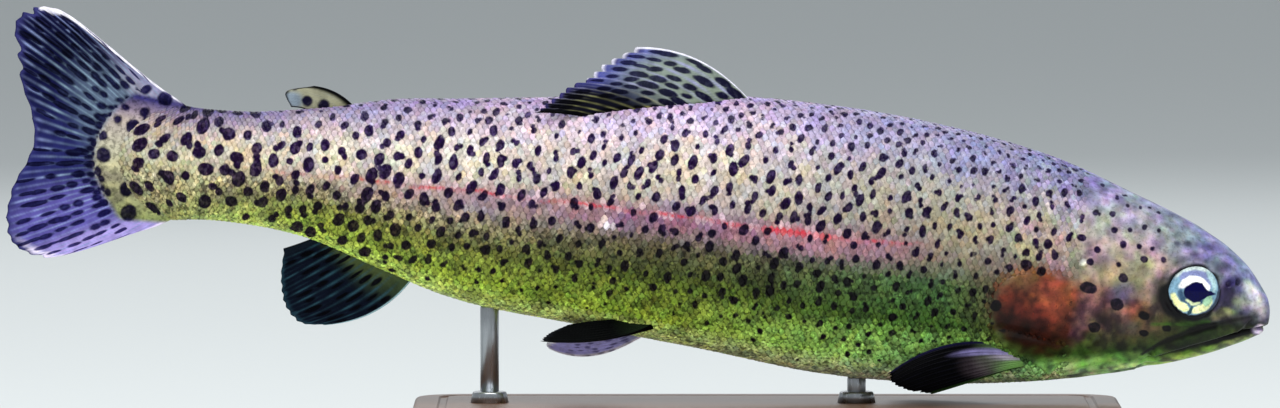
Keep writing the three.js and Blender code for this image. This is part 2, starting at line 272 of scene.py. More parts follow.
def flat_grid(name: str, columns: int, rows: int) -> tuple[Mesh, Array, Array]:
    """Makes a flat grid of columns and rows.

    Args:
        name: The mesh's name.
        columns: How many faces it has one way.
        rows: How many it has the other way.

    Returns:
        The mesh, and how far each vertex is along the columns and along the rows, from 0 to 1.
    """
    shell = bmesh.new()
    bmesh.ops.create_grid(shell, x_segments=columns, y_segments=rows, size=0.5)
    mesh = to_mesh(shell, name)
    places = np.round((read_points(mesh)[:, :2] + 0.5) * (columns, rows)).astype(np.float32)
    return mesh, places[:, 0] / columns, places[:, 1] / rows


def face_outwards(mesh: Mesh, merge: float = 0.0) -> None:
    """Points the faces outwards, after merging the seam and the poles of a wrapped grid.

    Args:
        mesh: The mesh, which is changed.
        merge: How close vertices are merged; 0 merges none.
    """
    shell = bmesh.new()
    shell.from_mesh(mesh)
    if merge > 0:
        bmesh.ops.remove_doubles(shell, verts=shell.verts, dist=merge)
        bmesh.ops.dissolve_degenerate(shell, edges=shell.edges, dist=SLIVER)
    bmesh.ops.recalc_face_normals(shell, faces=shell.faces)
    shell.to_mesh(mesh)
    shell.free()
    mesh.polygons.foreach_set("use_smooth", np.ones(len(mesh.polygons), dtype=bool))


def soften(shell: bmesh.types.BMesh, edges: Sequence[bmesh.types.BMEdge], offset: float,
           segments: int) -> None:
    """Bevels some edges by an offset in millimetres."""
    bmesh.ops.bevel(shell, geom=edges, offset=offset * MM, segments=segments, profile=0.5,
                    affect="EDGES", material=-1)


def add_object(name: str, data: bpy.types.ID) -> bpy.types.Object:
    """Puts a new object that shows the data in the scene."""
    thing = bpy.data.objects.new(name, data)
    bpy.context.scene.collection.objects.link(thing)
    return thing


def add_piece(mesh: Mesh, material: Material,
              nodes: Sequence[str] = ()) -> bpy.types.Object:
    """Puts a finished mesh in the scene as a piece of the object.

    Args:
        mesh: The mesh, already in its place, named as the piece.
        material: The finish that it wears.
        nodes: The solids that the piece stands for.

    Returns:
        The new object.
    """
    piece = add_object(mesh.name, mesh)
    mesh.materials.append(material)
    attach(piece, BODY)
    if nodes:
        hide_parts(*nodes)
    LOG.info("%s: %d vertices, %d faces", mesh.name, len(mesh.vertices), len(mesh.polygons))
    return piece


# -------------------- Node trees


class Shader:
    """Builds one material out of nodes, ending in a single principled surface."""

    def __init__(self, name: str) -> None:
        """Starts a material of that name."""
        self.material = bpy.data.materials.new(name)
        self.material.use_nodes = True
        self.tree = self.material.node_tree
        self.tree.nodes.clear()
        self.surface = self.tree.nodes.new("ShaderNodeBsdfPrincipled")
        output = self.tree.nodes.new("ShaderNodeOutputMaterial")
        self.tree.links.new(self.surface.outputs["BSDF"], output.inputs["Surface"])

    def put(self, socket: Socket, value: object) -> None:
        """Links a socket to another one, or sets its value."""
        if isinstance(value, Socket):
            self.tree.links.new(value, socket)
        elif isinstance(value, tuple) and len(value) == 3 and socket.type == "RGBA":
            socket.default_value = (*value, 1.0)
        else:
            socket.default_value = value

    def attribute(self, name: str, colour: bool = False) -> Socket:
        """A number, or a colour, that the mesh holds."""
        node = self.tree.nodes.new("ShaderNodeAttribute")
        node.attribute_name = name
        return node.outputs["Color" if colour else "Fac"]

    def math(self, operation: str, *values: object) -> Socket:
        """One sum of up to three values."""
        node = self.tree.nodes.new("ShaderNodeMath")
        node.operation = operation
        for socket, value in zip(node.inputs, values):
            self.put(socket, value)
        return node.outputs[0]

    def ease(self, value: object, low: float, high: float, start: float = 0.0,
             end: float = 1.0) -> Socket:
        """Maps a range smoothly to another, and holds its ends."""
        node = self.tree.nodes.new("ShaderNodeMapRange")
        node.interpolation_type = "SMOOTHSTEP"
        ends = {"From Min": low, "From Max": high, "To Min": start, "To Max": end}
        for name, number in ends.items():
            node.inputs[name].default_value = number
        self.put(node.inputs["Value"], value)
        return node.outputs["Result"]

    def mix(self, share: object, first: object, second: object,
            blend: str = "MIX") -> Socket:
        """A mix of two colours."""
        node = self.tree.nodes.new("ShaderNodeMix")
        node.data_type = "RGBA"
        node.blend_type = blend
        self.put(node.inputs["Factor"], share)
        self.put(node.inputs[6], first)
        self.put(node.inputs[7], second)
        return node.outputs[2]

    def tint(self, share: object, ground: object, factor: object) -> Socket:
        """The ground, multiplied by a colour where the share is full."""
        return self.mix(share, ground, self.mix(1.0, ground, factor, "MULTIPLY"))

    def scaled(self, colour: object, level: object) -> Socket:
        """A colour made brighter or darker by a number."""
        node = self.tree.nodes.new("ShaderNodeVectorMath")
        node.operation = "SCALE"
        self.put(node.inputs[0], colour)
        self.put(node.inputs["Scale"], level)
        return node.outputs[0]

    def ramp(self, value: object, stops: Sequence[tuple[float, str]]) -> Socket:
        """A colour read off a row of named stops."""
        node = self.tree.nodes.new("ShaderNodeValToRGB")
        node.color_ramp.interpolation = "EASE"
        elements = node.color_ramp.elements
        while len(elements) < len(stops):
            elements.new(0.5)
        for element, (place, colour) in zip(elements, sorted(stops)):
            element.position = place
            element.color = (*linear(colour), 1.0)
        self.put(node.inputs["Fac"], value)
        return node.outputs["Color"]

    def noise(self, scale: float, detail: float = 2.0, stretch: Point3 = (1, 1, 1),
              roughness: float = 0.5) -> Socket:
        """Soft noise over the piece, from 0 to 1, with its scale in cells to a metre."""
        place = self.tree.nodes.new("ShaderNodeTexCoord").outputs["Object"]
        if stretch != (1, 1, 1):
            mapping = self.tree.nodes.new("ShaderNodeMapping")
            mapping.inputs["Scale"].default_value = stretch
            self.put(mapping.inputs["Vector"], place)
            place = mapping.outputs["Vector"]
        node = self.tree.nodes.new("ShaderNodeTexNoise")
        values = {"Scale": scale, "Detail": detail, "Roughness": roughness, "Vector": place}
        for name, value in values.items():
            self.put(node.inputs[name], value)
        return node.outputs["Fac"]

    def cloud(self, scale: float, detail: float, low: float, high: float) -> Socket:
        """Blotches of noise: 0 where it is below the low value and 1 above the high one."""
        return self.ease(self.noise(scale, detail), low, high)

    def bump(self, height: object, distance: float, strength: float = 1.0) -> None:
        """Gives the surface a fine relief, with its distance in metres."""
        node = self.tree.nodes.new("ShaderNodeBump")
        node.inputs["Distance"].default_value = distance
        node.inputs["Strength"].default_value = strength
        self.put(node.inputs["Height"], height)
        self.put(self.surface.inputs["Normal"], node.outputs["Normal"])

    def set(self, **values: object) -> None:
        """Sets sockets of the surface, an underscore standing for a space."""
        for name, value in values.items():
            self.put(self.surface.inputs[name.replace("_", " ")], value)


# -------------------- The form of the body


class Column(IntEnum):
    """What the columns of the body stations hold."""

    PLACE = 0
    BACK = 1
    BELLY = 2
    HALF = 3
    TAPER = 4


@dataclass(frozen=True)
class BodyForm:
    """The trout's body as a loft through stations, each with the height of the back and the belly,
    the half width, and a taper that is above 0 where the back is narrower than the belly."""

    length: float = 317.0
    squareness: float = 2.2
    scallop: float = 12.0
    scallop_from: float = 284.0
    thinned: Point2 = (307.0, 316.5)
    thinning: float = 0.72
    rounded_end: float = 1.5
    stations: tuple[tuple[float, ...], ...] = (
        (0, -1.5, -1.5, 0, -0.1),
        (1, 3.1, -6.2, 3.6, -0.1),
        (3, 6.1, -7.6, 5.6, -0.1),
        (8, 11.8, -10.3, 8.2, -0.12),
        (20, 19.4, -15.6, 11.9, -0.14),
        (40, 26.9, -21.6, 15.0, -0.14),
        (65, 34.5, -27.2, 17.4, -0.06),
        (90, 38.5, -30.4, 18.9, 0.02),
        (120, 40.4, -31.2, 19.7, 0.05),
        (150, 39.7, -28.7, 19.2, 0.05),
        (185, 35.3, -26.2, 16.8, 0.05),
        (222, 30.2, -22.5, 13.2, 0.04),
        (240, 27.8, -17.4, 10.9, 0.02),
        (260, 23.0, -11.8, 8.6, 0),
        (280, 19.6, -10.3, 6.5, 0),
        (300, 19.2, -11.6, 4.3, 0),
        (317, 20.6, -12.4, 1.4, 0),
    )

    def along(self, u: Array, column: Column) -> Array:
        """A smooth curve through one column, run on the root of the distance for a round snout.

        Args:
            u: Distances behind the snout.
            column: Which of the stations' columns to follow.

        Returns:
            The column's value at each distance.
        """
        rows = np.array(self.stations, dtype=float)
        place, value = np.sqrt(rows[:, Column.PLACE]), rows[:, column]
        secant = np.diff(value) / np.diff(place)
        before, after = np.diff(place)[:-1], np.diff(place)[1:]
        inner = (secant[:-1] * after + secant[1:] * before) / (before + after)
        slope = np.concatenate([secant[:1], inner, secant[-1:]])
        r = np.sqrt(np.clip(u, 0.0, self.length))
        i = np.clip(np.searchsorted(place, r, side="right") - 1, 0, len(place) - 2)
        step = place[i + 1] - place[i]
        t = (r - place[i]) / step
        return (
            value[i] * (1 + 2 * t) * (1 - t) ** 2
            + step * slope[i] * t * (1 - t) ** 2
            + value[i + 1] * t * t * (3 - 2 * t)
            + step * slope[i + 1] * t * t * (t - 1)
        )

    def surface(self, u: Array, phi: Array) -> Array:
        """Places on the body.

        Args:
            u: Distances behind the snout.
            phi: Angles round the body: 0 is the back, pi the belly, and the right side lies between.

        Returns:
            An array of [u, y, z] rows.
        """
        power = 2.0 / self.squareness
        high = np.sign(np.cos(phi)) * np.abs(np.cos(phi)) ** power
        wide = np.sign(np.sin(phi)) * np.abs(np.sin(phi)) ** power
        back, belly = self.along(u, Column.BACK), self.along(u, Column.BELLY)
        taper = 1.0 - self.along(u, Column.TAPER) * high
        fall = ease(self.scallop_from, self.length, u)
        close = np.sqrt(np.clip((self.length - u) / self.rounded_end, 0.0, 1.0))
        close = close * (1.0 - self.thinning * ease(*self.thinned, u))
        half = self.along(u, Column.HALF) * close
        level = (back + belly) / 2 + (back - belly) / 2 * high
        return np.stack([u - self.scallop * high**2 * fall, -half * wide * taper, level], axis=-1)

    def normal(self, u: Array, phi: Array) -> Array:
        """The way that the body faces at those places.

        Args:
            u: Distances behind the snout.
            phi: Angles round the body.

        Returns:
            Unit vectors, one row for each place.
        """
        du, dphi = 0.05, 0.004
        ahead = self.surface(np.minimum(u + du, self.length), phi)
        behind = self.surface(np.maximum(u - du, 0.0), phi)
        around = self.surface(u, phi + dphi) - self.surface(u, phi - dphi)
        facing = np.cross(around, ahead - behind)
        facing[u < 1e-3] = (-1.0, 0.0, 0.0)
        size = np.linalg.norm(facing, axis=-1, keepdims=True)
        return facing / np.maximum(size, 1e-12)

    def height_share(self, u: Array, z: Array) -> Array:
        """How high a place is between the belly (0) and the back (1)."""
        back, belly = self.along(u, Column.BACK), self.along(u, Column.BELLY)
        return (z - belly) / np.maximum(back - belly, 1e-3)


FORM = BodyForm()


@dataclass(frozen=True)
class Pose:
    """Where the fish hangs over its stand: nose down a little, with its snout at a place."""

    pitch: float
    snout_x: float
    snout_z: float

    @classmethod
    def from_frame(cls, pitch: float, eye: Point2) -> Pose:
        """Finds the pose from the middle of the right eye's solid.

        Args:
            pitch: How far the nose points down, in radians.
            eye: The eye's [u, z] place on the fish.

        Returns:
            The pose that puts the eye where the solid is.
        """
        low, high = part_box("eye_right")
        middle = (Vector(low) + Vector(high)) / 2
        u, z = turned(eye[0] * MM, eye[1] * MM, -pitch)
        return cls(pitch, middle.x + u, middle.z - z)

    def place(self, points: Array) -> Array:
        """Turns [u, y, z] in millimetres into the object's frame, in metres."""
        u, z = turned(points[..., 0] * MM, points[..., 2] * MM, -self.pitch)
        return np.stack([self.snout_x - u, points[..., 1] * MM, self.snout_z + z], axis=-1)


@dataclass(frozen=True)
class LateralLine:
    """The line along the fish's side, from behind the eye to the tail, as [u, z] points."""

    course: tuple[Point2, ...] = (
        (0, -1.5), (20, 3.0), (50, 6.4), (74, 7.2), (120, 6.0), (171, 6.6), (214, 6.2),
        (290, 4.4), (317, 4.2),
    )

    def height(self, u: Array) -> Array:
        """The line's height at a distance behind the snout."""
        course = np.array(self.course)
        return np.interp(u, course[:, 0], course[:, 1])


class SideMap:
    """Unrolls the right side of the body: lengths round it are measured from the lateral line."""

    def __init__(self, form: BodyForm, line: LateralLine) -> None:
        """Measures the side on rings one millimetre apart."""
        self.rings = np.arange(0.0, form.length + 0.5)
        self.phi = np.linspace(0.0, math.pi, 241)
        u, phi = np.meshgrid(self.rings, self.phi, indexing="ij")
        points = form.surface(u, phi)
        steps = np.linalg.norm(np.diff(points, axis=1), axis=-1)
        fallen = np.concatenate([np.zeros((len(u), 1)), np.cumsum(steps, axis=1)], axis=1)
        level = line.height(self.rings)
        zero = np.array([np.interp(-level[k], -points[k, :, 2], fallen[k]) for k in range(len(u))])
        self.above = zero[:, None] - fallen

    def ring(self, u: float) -> Array:
        """The lengths above the line at each of the map's angles, on one ring."""
        i = min(int(u), len(self.rings) - 2)
        return blend(self.above[i], self.above[i + 1], u - i)

    def reach(self, u: Array) -> tuple[Array, Array]:
        """How far it is from the line up to the back and down to the belly (below 0)."""
        up, down = (np.interp(u, self.rings, self.above[:, k]) for k in (0, -1))
        return up, down

    def above_line(self, u: Array, phi: Array) -> Array:
        """The length above the line at any places, on either side.

        Args:
            u: Distances behind the snout.
            phi: Angles round the body.

        Returns:
            One length for each place, below 0 under the line.
        """
        folded = np.abs((phi + math.pi) % (2 * math.pi) - math.pi)
        i = np.clip(u.astype(int), 0, len(self.rings) - 2)
        f = u - i
        cell = folded / math.pi * (len(self.phi) - 1)
        j = np.clip(cell.astype(int), 0, len(self.phi) - 2)
        g = cell - j
        ahead = blend(self.above[i, j], self.above[i, j + 1], g)
        behind = blend(self.above[i + 1, j], self.above[i + 1, j + 1], g)
        return blend(ahead, behind, f)


LINE = LateralLine()
SIDE = SideMap(FORM, LINE)


# -------------------- Colours and spots of the body


@dataclass(frozen=True)
class Bands:
    """The colours from the belly (0) to the back (1) at one place along the fish."""

    place: float
    stops: tuple[tuple[float, str], ...]

    def at(self, height: Array) -> Array:
        """The linear colour at each height share."""
        heights = [stop[0] for stop in self.stops]
        colours = np.array([linear(stop[1]) for stop in self.stops])
        return np.stack([np.interp(height, heights, colours[:, k]) for k in range(3)], axis=-1)


@dataclass(frozen=True)
class Patch:
    """A soft-edged patch of colour on the side: its middle [u, z], half sizes, turn in degrees,
    how strong it is and how soft its edge is, from 0 to 1."""

    middle: Point2
    half: Point2
    colour: str
    strength: float = 1.0
    soft: float = 0.5
    turn: float = 0.0

    def cover(self, u: Array, z: Array) -> Array:
        """How much of each place the patch covers."""
        along, high = turned(u - self.middle[0], z - self.middle[1], math.radians(self.turn))
        ring = np.hypot(along / self.half[0], high / self.half[1])
        ring = ring + 0.10 * wobble(u * 1.7, z * 1.7)
        return self.strength * ease(1.0 + self.soft, 1.0 - self.soft, ring)


@dataclass(frozen=True)
class Stroke:
    """A soft-edged stroke of colour along a [u, z] course, with its half widths at both ends."""

    course: tuple[Point2, ...]
    half: Point2
    colour: str
    strength: float = 1.0
    soft: float = 0.5

    def cover(self, u: Array, z: Array) -> Array:
        """How much of each place the stroke covers."""
        away, share = nearest_on(np.stack([u, z], axis=-1), smooth_line(self.course, 16))
        ring = away / blend(*self.half, share) + 0.12 * wobble(u * 1.5, z * 1.5)
        return self.strength * ease(1.0 + self.soft, 1.0 - self.soft, ring)


@dataclass(frozen=True)
class EyeShade:
    """Painted shadow round the eye, widest below it and behind."""

    middle: Point2 = (21.0, 2.8)
    radius: float = 6.7
    colour: str = "#010208"
    strength: float = 0.98

    def cover(self, u: Array, z: Array) -> Array:
        """How much of each place is in the shade."""
        du, dz = u - self.middle[0], z - self.middle[1]
        ring, turn = np.hypot(du, dz) - self.radius, np.degrees(np.arctan2(dz, du))
        wide = 0.25 + 4.3 * bell(turn + 30.0, 36.0) + 1.0 * bell(turn + 100.0, 40.0)
        wide = wide + 0.4 * wobble(u * 1.4, z * 1.4)
        return self.strength * ease(wide + 0.6, wide * 0.6, ring)


@dataclass(frozen=True)
class Markings:
    """The colours that the skin and the coat share, apart from the spots."""

    # These bands are partly the trout's own colours and partly painted light and shade: painted
    # light makes the back and upper flank paler, painted shade makes the greens below the middle
    # darker, and the bright yellow-green at the belly's edge is the pale belly brightened by painted
    # light.
    bands: tuple[Bands, ...] = (
        Bands(8, ((0, "#98b460"), (0.12, "#40521e"), (0.26, "#26301a"), (0.42, "#54566c"),
                  (0.6, "#706c9a"), (0.85, "#8084b4"), (1, "#9096c8"))),
        Bands(22, ((0, "#a8cc60"), (0.05, "#5c7c28"), (0.12, "#223410"), (0.34, "#202e12"),
                   (0.5, "#5c5862"), (0.66, "#7c7c8a"), (0.8, "#8084a4"), (1, "#868cb8"))),
        Bands(38, ((0, "#ccffa8"), (0.06, "#80bc5c"), (0.13, "#283c14"), (0.3, "#584434"),
                   (0.42, "#86685c"), (0.56, "#a09280"), (0.7, "#b8a898"), (0.84, "#a4a0b0"),
                   (1, "#9094c0"))),
        Bands(52, ((0, "#e4ffc8"), (0.06, "#a8f080"), (0.13, "#466e28"), (0.32, "#6a4640"),
                   (0.44, "#7e5a4c"), (0.55, "#988c7e"), (0.68, "#b0a298"), (0.8, "#a09ca4"),
                   (1, "#888cb8"))),
        Bands(90, ((0, "#f0ffd8"), (0.09, "#b0f07c"), (0.24, "#3c6020"), (0.40, "#3e5c34"),
                   (0.52, "#80786e"), (0.62, "#9c9482"), (0.76, "#a29e9c"), (0.9, "#9e9cc0"),
                   (1, "#9894be"))),
        Bands(165, ((0, "#dcf49a"), (0.09, "#8ca83c"), (0.26, "#4c5c1e"), (0.40, "#5e5a42"),
                    (0.50, "#968690"), (0.60, "#c0b6aa"), (0.76, "#d8cec8"), (0.9, "#d8c4e0"),
                    (1, "#b09ac6"))),
        Bands(250, ((0, "#d0ee70"), (0.12, "#8ca438"), (0.28, "#7f8440"), (0.42, "#b0a688"),
                    (0.55, "#d6cebc"), (0.7, "#e4dacc"), (0.86, "#c6b8ca"), (1, "#9486b0"))),
        Bands(308, ((0, "#88905c"), (0.25, "#aca880"), (0.55, "#ccc6a4"), (0.8, "#c0b0a4"),
                    (0.9, "#8c7c98"), (1, "#34306c"))),
    )
    stripe: str = "#886684"
    stripe_reach: float = 4.6
    stripe_strength: float = 0.62
    swollen: Point2 = (127.0, 9.0)
    shift: Point2 = (0.45, 0.5)
    patches: tuple[Patch | Stroke | EyeShade, ...] = (
        Patch((127, 6.2), (9.5, 0.8), "#d02c44", 0.90, 0.4),
        Patch((122, 4.6), (24, 3.4), "#b47e8a", 0.45, 0.6),
        Patch((168, 5.0), (28, 3.2), "#8c5c74", 0.35, 0.7),
        # Painted highlight: a small white glint on the flank.
        Patch((178.8, 2.2), (1.9, 1.2), "#fff0f4", 0.95, 0.4),
        Patch((61.6, -7.0), (12.2, 10.6), "#6e2818", 0.96, 0.22, 14.0),
        Patch((58.5, -1.8), (8.0, 4.2), "#944e30", 0.60, 0.7, 14.0),
        Patch((66.5, 0.6), (4.0, 2.6), "#8c6844", 0.60, 0.7, -20.0),
        Patch((55.6, -8.0), (3.2, 5.5), "#642c1e", 0.50, 0.7, 8.0),
        Patch((63.2, -14.4), (10.4, 6.2), "#140502", 0.92, 0.50, 16.0),
        Patch((53.5, -13.5), (3.6, 4.2), "#20100a", 0.75, 0.60),
        Patch((70.2, -8.5), (3.2, 6.0), "#240c06", 0.60, 0.7, 8.0),
        # Partly the pale throat and partly painted light: a bright green band along the lower edge
        # under the gill covers.
        Patch((62.0, -25.5), (34.0, 3.6), "#b8ffa4", 0.55, 0.7),
        Patch((49.8, -6.0), (2.2, 8.0), "#7c5c68", 0.45, 0.6, 8.0),
        Patch((35.7, -4.0), (2.9, 2.2), "#985030", 0.60, 0.7, 10.0),
        Patch((44.0, -8.0), (3.6, 3.0), "#3c2c34", 0.45, 0.7),
        Patch((37.0, -9.0), (2.6, 1.8), "#3c3444", 0.50, 0.7),
        Patch((40.4, 0.2), (3.2, 3.0), "#68727e", 0.70, 0.6),
        Patch((43.5, 4.5), (3.4, 2.4), "#b8ac80", 0.60, 0.7),
        # Painted highlight: a small white glint behind the eye.
        Patch((51.6, 7.0), (1.0, 0.75), "#fff2ee", 0.95, 0.4),
        Patch((30.5, 3.0), (2.0, 3.8), "#2c2028", 0.75, 0.7),
        Patch((31.0, 8.5), (3.8, 2.4), "#c8ac9c", 0.50, 0.7),
        Patch((12.0, 2.6), (3.0, 3.6), "#181030", 0.88, 0.6),
        Patch((14.2, 10.0), (2.0, 1.4), "#36345c", 0.75, 0.6),
        Patch((10.7, 6.6), (2.0, 1.5), "#2c2c60", 0.80, 0.6),
        Patch((27.1, 14.9), (0.9, 0.7), "#34304e", 0.75, 0.6),
        Patch((24.4, 15.2), (1.1, 0.8), "#34304e", 0.75, 0.6),
        Patch((22.0, 12.6), (1.2, 0.9), "#34304e", 0.70, 0.6),
        Patch((18.0, 14.5), (1.8, 0.9), "#4a4a76", 0.60, 0.7),
        Stroke(((6.8, 5.8), (5.0, 3.8), (3.4, 1.4), (3.0, -0.4)), (1.2, 1.9), "#f2eef4", 0.92,
               0.9),
        Patch((7.8, 1.4), (1.8, 1.8), "#c8cca8", 0.60, 0.8),
        Patch((9.5, 1.0), (3.0, 2.6), "#38344c", 0.45, 0.7),
        Patch((5.0, -3.0), (2.6, 1.0), "#2c2638", 0.60, 0.7),
        Patch((5.2, -1.6), (2.6, 1.3), "#4c4668", 0.80, 0.7, -10.0),
        Patch((12.4, -2.4), (2.8, 1.4), "#90985c", 0.75, 0.6, -15.0),
        Patch((8.8, -3.2), (2.8, 1.2), "#3a3630", 0.75, 0.7, -12.0),
        # Painted shade: dark green between the upper jaw's edge and the gape.
        Patch((17.0, -9.4), (9.5, 2.2), "#141e0c", 0.60, 0.6, -22.0),
        Stroke(((16.0, -5.0), (22.0, -6.2), (31.0, -7.4)), (0.4, 0.5), "#34541a", 0.60),
        # Painted shade: the dark lines under the upper jaw's edge and along the gape.
        Stroke(((14.4, -5.8), (17.4, -6.7), (20.4, -8.0)), (1.0, 1.1), "#000100", 1.0, 0.35),
        Stroke(((20.0, -8.0), (26.8, -11.6), (32.6, -16.0)), (1.0, 0.4), "#050803", 0.92),
        Stroke(((3.6, -6.2), (8.0, -8.0), (15.4, -11.2)), (0.9, 1.1), "#000004", 1.0, 0.4),
        Stroke(((15.0, -11.0), (22.0, -13.8), (30.0, -17.2)), (0.9, 0.4), "#0a100a", 0.80),
        Patch((1.9, -5.9), (1.7, 1.6), "#fffaff", 1.0, 0.35),
        EyeShade(),
    )

    def line(self, u: Array, above: Array) -> Array:
        """How strongly the thin red lateral line shows at each place."""
        along = ease(88, 112, u) * ease(300, 225, u)
        broken = ease(-0.5, 0.4, np.sin(u * 0.31 + 1.7 * np.sin(u * 0.083)))
        wander = 0.35 * np.sin(u * 0.21) + 0.2 * np.sin(u * 0.53 + 1)
        swell = 0.5 + 0.3 * bell(u - self.swollen[0], self.swollen[1])
        return along * (0.35 + 0.65 * broken) * bell(above - 0.2 - wander, swell)

    def colour(self, u: Array, z: Array, height: Array, above: Array) -> Array:
        """The colour of each place on the body.

        Args:
            u: Distances behind the snout.
            z: Heights.
            height: Height shares between the belly and the back.
            above: Lengths above the lateral line, round the body.

        Returns:
            Linear colours, one row each.
        """
        places = [band.place for band in self.bands]
        here = np.clip(u, places[0], places[-1])
        colour = self.bands[0].at(height)
        for band, before in zip(self.bands[1:], places):
            colour = over(colour, band.at(height), ease(before, band.place, here))
        along = ease(80, 112, u) * ease(290, 215, u)
        broad = self.stripe_strength * along * bell(above + 0.8, self.stripe_reach)
        colour = over(colour, self.stripe, broad)
        near = ease(110, 60, u)
        u_seen, z_seen = u - self.shift[0] * near, z - self.shift[1] * near
        for patch in self.patches:
            colour = over(colour, patch.colour, patch.cover(u_seen, z_seen))
        return np.clip(colour * self.mottled(u, height, above), 0.0, 1.0)

    def mottled(self, u: Array, height: Array, above: Array) -> Array:
        """How much the blotches of lilac, cream, brown and dark green change each place.

        Args:
            u: Distances behind the snout.
            height: Height shares.
            above: Lengths above the lateral line.

        Returns:
            What each place multiplies its colour by.
        """
        head, low = ease(82, 60, u), ease(0.5, 0.38, height)
        broad, small = mottle(u, above, 8.0, 3), mottle(u, above, 3.0, 4)
        level = np.ones((len(u), 3))
        for share, change in (
            (0.42 * ease(0.5, 0.72, broad) * (1 - low), (-0.30, -0.28, -0.08)),
            (0.40 * ease(0.5, 0.30, broad) * (1 - low), (0.16, 0.14, -0.12)),
            ((0.56 * low + 0.36 * head) * ease(0.5, 0.74, small), (-0.72, -0.76, -0.60)),
            ((0.50 * low + 0.42 * head) * ease(0.5, 0.26, small), (0.55, 0.45, 0.30)),
        ):
            level += share[:, None] * change
        red = 0.30 * bell(above + 1.0, 3.2) * ease(100, 130, u) * ease(280, 240, u)
        for share, change in (
            (head * (mottle(u, above, 3.2, 6) - 0.5), (0.40, -0.36, 0.60)),
            (head * (mottle(u, above, 1.5, 7) - 0.5), (0.80, 0.80, 0.80)),
            (red * ease(0.52, 0.66, mottle(u, above, 2.2, 5)), (0.1, -0.62, -0.40)),
        ):
            level *= 1.0 + share[:, None] * change
        return level


@dataclass(frozen=True)
class SpotSize:
    """One measure of the spots in millimetres: its values on the flank and on the back, before
    the dorsal fin's end and behind it, on the tail stalk, and how much smaller it is in front."""

    body: Point2
    rear: Point2
    tail: float
    less: float

    def at(self, high: Array, front: Array, rear: Array, tail: Array) -> Array:
        """The measure at some places, by how high and in which stretch they are."""
        size = blend(*self.body, high) * (1 - self.less * front)
        return blend(blend(size, blend(*self.rear, high), rear), self.tail, tail)


